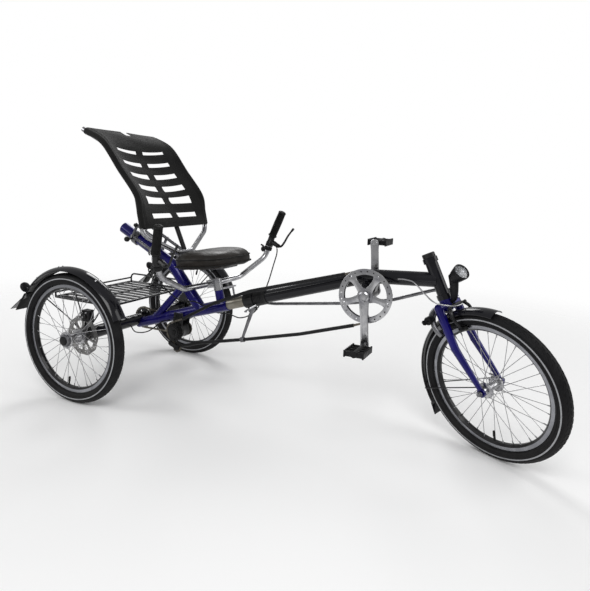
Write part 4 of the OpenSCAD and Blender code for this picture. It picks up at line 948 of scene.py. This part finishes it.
def makeControls(v):
    for s, which in ((1, "left"), (-1, "right")):
        a, b = sided(barPath[3].lerp(barPath[4], 0.04), s), sided(barPath[4], s)
        way = (b - a).normalized()
        length = (b - a).length + 13
        profile = [(v["barR"], 0), (v["flangeR"], 0.2), (v["flangeR"], 3.8), (v["gripR"] + 0.4, 5)]
        for k in range(22):
            z = 7 + k * (length - 20) / 21
            swell = 0.9 * sin(pi * k / 21)
            profile += [(v["gripR"] - 1.6 + swell, z), (v["gripR"] + swell - 0.2, z + 1.1),
                    (v["gripR"] + swell - 0.2, z + 2.4), (v["gripR"] - 1.6 + swell, z + 3.3)]
        profile += [(v["gripR"], length - 8), (v["gripR"] + 0.6, length - 3), (v["gripR"] - 3, length),
                (v["barR"] - 4, length), (v["barR"] - 4, length - 0.8), (0, length - 0.8)]
        inner = [(0, length - 3), (v["barR"], length - 3)]
        grip = turned("grip", profile + inner, 32)
        place = barPlace @ on(*a) @ facing(way, "X")
        settle(grip, place, "gripRubber", "handlebar", ("grips",), smooth=40, name="grip_" + which)
        up = (sided(barPath[3], s) - sided(barPath[2], s)).normalized()
        c = sided(barPath[3], s) - up * v["leverDrop"]
        turn = on(*c) @ facing(up, "X")
        clamp = moved(turned("clamp", [(v["barR"], -8), (15, -8), (16.2, -6.5), (16.2, 9), (14, 13), (13.4, 37),
                (v["barR"], 37)], 32), turn)
        perch = rod("perch", smoothPath([c + Vector((10, 0, 2)), c + Vector((26, 0, 2)), c + Vector((40, 0, -8)),
                c + Vector((54, 0, -15))], 5), 10, radii=[1.1, 1.1, 1.1, 1.15, 1.15, 1.1, 1.05, 1, 1, 1, 0.95, 0.95,
                0.95, 0.9, 0.85, 0.8], sides=12)
        barrel = rod("adjuster", [c + Vector((43, 0, -8)), c + Vector((41, 0, -16)), c + Vector((40, 0, -21))], 4.2,
                radii=[1.2, 1, 0.8], sides=10)
        settle(joined("lever_body_" + which, [clamp, perch, barrel]), barPlace, "blackAlloy", "handlebar",
                ("brake_levers",), smooth=40)
        bladeLine = smoothPath([c + Vector((x, s * 3 * i / 2, z)) for i, (x, z) in enumerate(v["lever"])], 6)
        count = len(bladeLine)
        blade = rod("blade", bladeLine, 4.6,
                radii=[1.15 - 0.35 * i / count + (0.25 if i > count - 4 else 0) for i in range(count)], sides=12)
        pivot = axled("pivot", [(0, -9), (4, -9), (4.4, -8), (4.4, 8), (4, 9), (0, 9)], 16,
                place=on(*(c + Vector((48, 0, -13)))))
        settle(joined("lever_blade_" + which, [blade, pivot]), barPlace, "blackAlloy", "handlebar",
                smooth=40)
        d = sided(barPath[3], s) - up * v["shifterDrop"]
        turn = on(*d) @ facing(up, "X")
        ring = moved(turned("ring", [(v["barR"], -8), (16, -8), (17, -6), (17, 6), (16, 8), (v["barR"], 8)], 32),
                turn)
        pod = moved(turned("pod", [(0, -14), (9, -14), (11.5, -11), (12, 6), (9, 11), (0, 12)], 28),
                on(*(d + Vector((-22, 0, 0)))) @ about("Y", 90))
        thumb = rod("thumb", smoothPath([d + Vector((-24, 0, 8)), d + Vector((-30, 0, 16)),
                d + Vector((-40, s * 3, 20))], 5), 4, radii=[1.2, 1.1, 1, 1, 1, 0.95, 0.95, 0.95, 0.9, 1, 1.1],
                sides=10)
        nose = rod("nose", [d + Vector((-30, 0, 0)), d + Vector((-36, 0, 0))], 6, radii=[1, 0.8], sides=10)
        settle(joined("shifter_" + which + "_pod", [ring, pod, thumb, nose]), barPlace, "mouldedBlack", "handlebar",
                ("shifters",), smooth=40)

makeControls(controlValues)

def boltAt(place, axis, size=5, high=4, name="bolt"):   # socket head bolt standing along axis
    head = turned(name, [(0, 0), (size, 0), (size, high - 0.6), (size - 0.6, high), (size * 0.55, high),
            (size * 0.5, high - 2), (0, high - 2)], 12)
    return moved(head, on(*place) @ facing(axis))

stemBolts = [boltAt((-44, y, z), (-1, 0, 0), 4, 4) for y in (-12, 12) for z in (33, 51)]
stemBolts.append(boltAt((0, 0, 58.3), (0, 0, 1), 7, 4))
settle(joined("stem_bolts", stemBolts), barPlace, "spokeSteel", "handlebar")

print("fittings")
lampValues = {"place": (58, 0, 361), "tilt": 70, "scale": 1.25, "stalk": [(19, 0, 294), (34, 0, 300), (46, 0, 318),
        (55, 0, 340), (62, 0, 361)]}

def makeHeadlight(v):
    place = forkPlace @ on(*v["place"]) @ about("Y", v["tilt"]) @ Matrix.Scale(v["scale"], 4)
    shell = turned("shell", [(0, -3), (9, -2), (14, 3), (17.6, 14), (20.4, 28), (21.4, 33), (21.4, 37.5),
            (20.4, 38.6), (19.4, 37.6), (19, 32), (16, 16), (10, 4), (0, 3)], 40)
    stalk = rod("stalk", smoothPath(v["stalk"], 5), 7, radii=[0.95 + 0.06 * i for i in range(21)], sides=16)
    fin = slab("fin", [(22, 292), (40, 297), (54, 318), (66, 344), (62, 380), (52, 380), (42, 344), (32, 314)], 19, 0,
            6)
    stand = moved(joined("stand", [stalk, fin]), forkPlace)
    body = joined("headlight_shell", [moved(shell, place), stand])
    settle(body, None, "mouldedBlack", "fork", ("headlight",), smooth=45)
    bowl = turned("bowl", [(0, 5), (7, 6), (13, 12), (17, 22), (18.6, 32), (17.8, 32), (16, 23), (12, 13.5), (6, 8),
            (0, 7.5)], 40)
    settle(bowl, place, "polishedAlloy", "fork", smooth=50, name="headlight_bowl")
    bulb = turned("bulb", [(0, 7), (4, 7), (5, 12), (4.4, 19), (0, 22)], 20)
    settle(bulb, place, "reflexBand", "fork", smooth=50, name="headlight_bulb")
    lens = turned("lens", [(0, 36), (10, 35.4), (19, 33), (19, 35), (11, 38.2), (0, 39.2)], 40)
    settle(lens, place, "lensGlass", "fork", smooth=60, name="headlight_lens")

makeHeadlight(lampValues)

tailLampValues = {"angle": 146, "stand": 2.3, "seat": (6, 0, 24), "tip": -60}

def makeTailLamps(v):
    angle, reach = rad(v["angle"]), trike["tyre"] + trike["guardGap"] + v["stand"]
    for s, which in ((-1, "right"), (1, "left")):
        place = base @ on(reach * cos(angle), s * trike["track"] / 2,
                trike["axleZ"] + reach * sin(angle)) @ about("Y", 90 - v["angle"])
        seat = place @ on(*v["seat"]) @ about("Y", v["tip"])
        shell = turned("shell", [(0, 0), (15, 0), (19, 2.5), (20.4, 6), (20.4, 11), (18.6, 11), (18.6, 8), (0, 8)],
                36)
        post = turned("post", [(0, 0), (8, 0), (8, 2), (5, 4), (5, 26), (0, 26)], 20)
        settle(shell, seat, "mouldedBlack", "frame", ("tail_lamps",), smooth=40,
                name="tail_lamp_shell_" + which)
        settle(post, place, "mouldedBlack", "frame", smooth=40, name="tail_lamp_post_" + which)
        lens = turned("lens", [(0, 9), (18.3, 9), (18.3, 12.5), (17, 15), (13, 16.2), (12, 15.4), (9, 16.8), (8, 16),
                (5, 17.2), (4, 16.4), (0, 17.6)], 36)
        settle(lens, seat, "redLens", "frame", smooth=40, name="tail_lamp_lens_" + which)

makeTailLamps(tailLampValues)

frontBrakeValues = {"arm": [(36, 36, 277), (42, 45, 262), (44, 46, 242), (44, 38, 224), (43, 28, 208)], "armR": 5.4,
                    "yoke": [(34, -40, 277), (35, -20, 281), (35, 0, 282), (35, 20, 281), (34, 40, 277)], "yokeR": 5,
                    "pad": (36, 7, 11), "padAt": (44, 21, 205)}

def makeFrontBrake(v):
    parts = []
    for s in (-1, 1):
        parts.append(rod("arm", smoothPath([sided(p, s) for p in v["arm"]], 5), v["armR"], sides=12))
        parts.append(boltAt((41, s * 46, 250), (0.3, s, 0), 6.5, 4))
        parts.append(boltAt((36, s * 38, 279), (1, 0, 0.2), 5, 6))
    parts.append(rod("yoke", smoothPath(v["yoke"], 5), v["yokeR"], sides=12))
    parts.append(rod("post", [(20, 0, 284), (33, 0, 281)], v["armR"], sides=12))
    settle(joined("brake_arms", parts), forkPlace, "blackAlloy", "fork", ("front_brake",), smooth=40)
    pads = [block("pad", v["pad"], sided(v["padAt"], s), 2.2) for s in (-1, 1)]
    settle(joined("brake_pads", pads), forkPlace, "gripRubber", "fork", smooth=40)

makeFrontBrake(frontBrakeValues)

caliperValues = {"x": 26, "inset": 52, "lift": 84, "gap": 8.7, "thick": 12.6,
                 "half": [(-17, -20), (-10, -22), (12, -22), (17, -16), (17, 14), (11, 21), (-12, 21), (-17, 14)]}

def makeCalipers(v):
    parts, bolts = [], []
    for s in (-1, 1):
        x, y, z = v["x"], s * (trike["track"] / 2 - v["inset"]), trike["axleZ"] + v["lift"]
        half = [(x + dx, z + dz) for dx, dz in v["half"]]
        for off in (v["gap"], -v["gap"]): parts.append(slab("half", half, v["thick"], y + off, 2.4))
        parts.append(block("bridge", (30, 30, 11), (x, y, z + 17.5), 3))
        parts.append(moved(turned("cylinder", [(0, 0), (11, 0), (12, 1.5), (12, 7), (10, 9), (0, 9)], 28),
                on(x, y + s * 15, z - 2) @ (across if s > 0 else about("X", 90))))
        for dx in (-10, 10): bolts.append(boltAt((x + dx, y + s * 15, z + 13), (0, s, 0), 4, 4))
        bolts.append(boltAt((x, y + s * 24, z - 2), (0, s, 0), 4.4, 3))
    settle(joined("caliper_bodies", parts), base, "blackAlloy", "frame", ("rear_brakes",), smooth=35)
    settle(joined("caliper_bolts", bolts), base, "spokeSteel", "frame")

makeCalipers(caliperValues)

lockValues = {"angle": 109, "lift": 6, "ring": 55.5, "cover": 59, "key": (38, -44)}

def makeLock(v):   # horseshoe lock round the tyre, its barrel at the top corner
    lockAt = rad(v["angle"])
    out = Vector((cos(lockAt), 0, sin(lockAt)))
    place = forkPlace @ on(trike["forkOffset"]) @ on(*(out * (trike["tyreMid"] + v["lift"]))) @ axes(out,
            Vector((0, 1, 0)), out.cross(Vector((0, 1, 0))))
    sweep = [rad(a) for a in range(-114, 115, 6)]
    line = [Vector((v["ring"] * cos(a), v["ring"] * sin(a), 0)) for a in sweep]
    horseshoe = rod("horseshoe", line, 8.8, radii=[0.8 + 0.35 * cos(a * 0.6) for a in sweep], sides=16)
    cover = rod("cover", [Vector((v["cover"] * cos(a), v["cover"] * sin(a), 0)) for a in [rad(q) for q in range(-62,
            63, 6)]], 11.5, sides=16)
    feet = [block("foot", (14, 11, 20), (0, s * 52, -12), 3) for s in (-1, 1)]
    settle(joined("lock_ring", [horseshoe, cover] + feet), place, "castAlloy", "fork", ("ring_lock",),
            smooth=40)
    x, y = v["key"]
    barrel = moved(turned("barrel", [(0, 0), (13, 0), (14, 2), (14, 22), (12, 26), (9, 26), (9, 24), (3, 24), (3, 33),
            (0, 33)], 28), on(x, y, 0) @ about("X", 90))
    bow = slab("bow", [(-7, 0), (-9, 8), (-5, 15), (5, 15), (9, 8), (7, 0)], 3, 0, 0.8)
    moved(bow, on(x, y - 32, 0) @ about("X", 90))
    slider = block("slider", (10, 16, 12), (22, 60, 0), 3)
    settle(joined("lock_key", [barrel, bow, slider]), place, "mouldedBlack", "fork", smooth=35)

makeLock(lockValues)

print("hardware")
def cap(name, radius, high, at, axis, place):   # a domed knob standing along axis
    knob = turned(name, [(0, 0), (radius * 0.7, 0), (radius, high * 0.25), (radius, high * 0.75),
            (radius * 0.8, high), (0, high)], 20)
    return moved(knob, place @ on(*at) @ facing(axis))

hardwareValues = {"clampX": 565, "collarX": 612, "capLift": 449.2, "flapAngle": 152, "flapStand": 23,
        "flapTip": (-283.8, 0, 77),
                  "rivetAngles": (100, 60, 128), "rivetStand": 2.2}

def makeHardware(v):
    sleeve = rod("centre_sleeve", [Vector((246.5, 0, 582)), Vector((236, 0, 606)), Vector((201.5, 0, 684))], 9.6,
            sides=20)
    settle(sleeve, base, "mouldedBlack", "seat", smooth=40)
    top = turned("cap", [(0, 0), (20.6, 0), (20.9, 1), (20.9, 13), (19, 15.6), (8, 15.8), (7, 14.4), (0, 14.4)], 40)
    settle(top, forkPlace @ on(0, 0, v["capLift"]), "blackAlloy", "fork", name="headset_cap")
    clampBolts = []
    place = tubePlace(v["clampX"])
    for dx in (-12, 12):
        clampBolts.append(moved(boltAt((dx, -8, -36), (0, -1, 0), 5, 5), place))
        clampBolts.append(moved(boltAt((dx, 8, -36), (0, 1, 0), 5, 4), place))
    settle(joined("clamp_bolts", clampBolts), None, "spokeSteel", "frame")
    ridges = [(24.9, -24), (28.6, -24)]
    for k in range(7): ridges += [(29.6, -21 + k * 6.4), (29.6, -18.6 + k * 6.4), (28.2, -17.8 + k * 6.4),
            (28.2, -15.6 + k * 6.4)]
    collar = turned("collar", ridges + [(28.6, 27), (26.5, 29), (24.9, 29)], 40)
    settle(collar, tubePlace(v["collarX"]) @ about("Y", 90), "blackAlloy", "frame", name="boom_collar")
    lever = rod("lever", smoothPath([(-14, -24, -40), (-18, -30, -38), (10, -34, -30), (40, -33, -22)], 5), 3.6,
            sides=10)
    settle(lever, place, "polishedAlloy", "frame", smooth=40, name="clamp_lever")
    for s, which in ((-1, "right"), (1, "left")):   # rubber flap under each rear guard
        rim, lean = trike["tyre"] + v["flapStand"], rad(v["flapAngle"])
        edge = Vector((rim * cos(lean), 0, rim * sin(lean)))
        tip = Vector(v["flapTip"])
        way, out = (tip - edge).normalized(), Vector((-(tip - edge).z, 0, (tip - edge).x)).normalized()
        if out.x > 0: out = -out
        line = [edge - way * 26, edge, edge + way * 18, tip - way * 10, tip]
        flap = slab("flap", [(p + out * 2.6).xz for p in line] + [(p - out * 0.9).xz for p in reversed(line)], 50, 0,
                0.8)
        settle(flap, base @ on(0, s * trike["track"] / 2, trike["axleZ"]), "gripRubber", "frame",
                name="guard_flap_" + which)
    knobs = [cap("knob", 11, 17, (88, -60, 0), (0, -1, 0), seatTubePlace),
            cap("knobLow", 8, 10, (214, -40, 8), (0, -1, 0), seatTubePlace),
             cap("knobHigh", 8, 10, (84, -40, 64), (0, -1, 0), seatTubePlace)]
    settle(joined("slide_knobs", knobs), None, "mouldedBlack", "seat")
    slideLever = rod("slideLever", smoothPath([(196, -40, 10), (214, -52, 4), (240, -60, -14), (262, -62, -40)], 5),
            3.4, radii=[1 + 0.02 * i for i in range(16)], sides=10)
    settle(slideLever, seatTubePlace, "polishedAlloy", "seat", smooth=40, name="slide_lever")
    bolts = [boltAt((sx, sy * 41, up), (0, sy, 0), 5, 4) for sx in (84, 198) for sy in (-1, 1) for up in (8, 64)]
    settle(joined("slide_bolts", bolts), seatTubePlace, "spokeSteel", "seat")
    rivets = []
    for s in (-1, 1):
        for a in v["rivetAngles"]:
            for dy in (-9, 9):
                reach = trike["tyre"] + trike["guardGap"] + v["rivetStand"]
                spot = on(reach * cos(rad(a)), s * trike["track"] / 2 + dy,
                        trike["axleZ"] + reach * sin(rad(a))) @ about("Y", 90 - a)
                rivets.append(moved(turned("rivet", [(0, -1.4), (4, -1.4), (4, 0.2), (2.4, 1.8), (0, 2.2)], 12),
                        spot))
    settle(joined("guard_rivets", rivets), base, "spokeSteel", "frame")

makeHardware(hardwareValues)

weldValues = {"start": (85, 0, 262), "end": (251, 0, 438), "radius": 16, "shares": (0.12, 0.9), "bead": 2.2,
              "points": 96, "ripples": 24, "slant": 6}

def makeWelds(v):   # rippled beads round the brace near its two ends
    a, b = Vector(v["start"]), Vector(v["end"])
    beads = []
    for share in v["shares"]:
        line, sizes = [], []
        for i in range(v["points"]):
            t = 2 * pi * i / v["points"]
            ring = on(*a.lerp(b, share)) @ facing(b - a)
            line.append(ring @ Vector((v["radius"] * cos(t), v["radius"] * sin(t), v["slant"] * cos(t))))
            sizes.append(1 + 0.22 * cos(t * v["ripples"]))
        beads.append(rod("bead", line, v["bead"], radii=sizes, sides=8, cyclic=True))
    settle(joined("frame_welds", beads), base, "bluePaint", "frame", smooth=40)

makeWelds(weldValues)

print("cables")
toFit = base.inverted()
def inBar(p): return toFit @ barPlace @ Vector(p)
lineUp = Vector((-sin(rad(trike["slope"])), 0, cos(rad(trike["slope"]))))
def beside(x, a, r): return onLine(x) + r * (cos(rad(a)) * Vector((0, 1, 0)) + sin(rad(a)) * lineUp)
def mainR(x): return (42 + 8 * x / 466) / 2
def clampAt(s, down): return sided(barPath[3], s) - (sided(barPath[3], s) - sided(barPath[2], s)).normalized() * down

cableOff, boomR = 2.8, 24.5
leftClamp, rightClamp = clampAt(1, 34), clampAt(-1, 52)
beamUnder = trike["axleZ"] - sqrt((25 + cableOff) ** 2 - 100)
cables = {
    "cable_left_cord": ("mouldedBlack", "black_plastic", "handlebar", "frame", (1, 4), "cable_left",
        [inBar(leftClamp + Vector((40, 0, -23))), inBar(leftClamp + Vector((38, -5, -46))), (566, 182, 524),
        (589, 108, 484), (610, 42, 450),
         beside(640, 20, boomR + cableOff + 6), beside(680, 20, boomR + cableOff + 0.9),
         beside(720, 20, boomR + cableOff + 0.4)]),
    "cable_right_cord": ("mouldedBlack", "black_plastic", "handlebar", "frame", (2, 5), "cable_right",
        [inBar(rightClamp + Vector((-34.9, 0, 0))), inBar((-30, -285, 143)), inBar((-62, -250, 100)),
        inBar((-78, -180, 40)), (300, -95, 390), (336, -56, 385),
         beside(372, 150, mainR(372) + cableOff + 6), beside(402, 150, mainR(402) + cableOff + 0.9),
         beside(440, 150, mainR(440) + cableOff + 0.4)]),
    "cable_front_cord": ("spokeSteel", "steel", "frame", "fork", (2, 5), "cable_front",
        [(1140, -boomR - cableOff - 0.3, 560.7), (1165, -boomR - cableOff - 2, 561.5),
        (1195, -boomR - cableOff - 9, 556), (1235, -58, 528), (1275, -74, 505),
         (1330, -60, 500), (1350, -30, 505)]),
    "cable_slack_front": ("mouldedBlack", "black_plastic", "frame", None, None, "frame_cables",
        [beside(270, -35, mainR(270) + cableOff), beside(340, -35, mainR(340) + cableOff), (440, 34, 330),
        (500, 36, 322), (560, 36, 352),
         beside(612, -20, boomR + cableOff), beside(670, -20, boomR + cableOff)]),
    "cable_slack_rear": ("mouldedBlack", "black_plastic", "frame", None, None, "frame_cables",
        [(-10, -40, beamUnder), (16, -39, 204), (80, -34, 216), beside(140, -140, mainR(140) + cableOff),
        beside(180, -140, mainR(180) + cableOff)])}

cordValues = {"radius": 2.5, "diameter": 0.0049}   # the drawn radius in mm, the real diameter in m

def makeCable(name, coat, slot, a, b, span, node, route):
    line = smoothPath(route, 8)
    metres = [base @ p for p in line]
    tube = rod(name, line, cordValues["radius"], sides=12)
    tube.data.transform(base)
    tube.data.materials.clear(); tube.data.materials.append(coats[coat])
    choose(tube); ops.object.shade_smooth_by_angle(angle=rad(50))
    if b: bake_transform(tube)
    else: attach(tube, a)
    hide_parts(node)
    total = sum((q - p).length for p, q in zip(metres, metres[1:]))
    return total

for name, values in cables.items(): print(name, round(makeCable(name, *values), 3), "m")
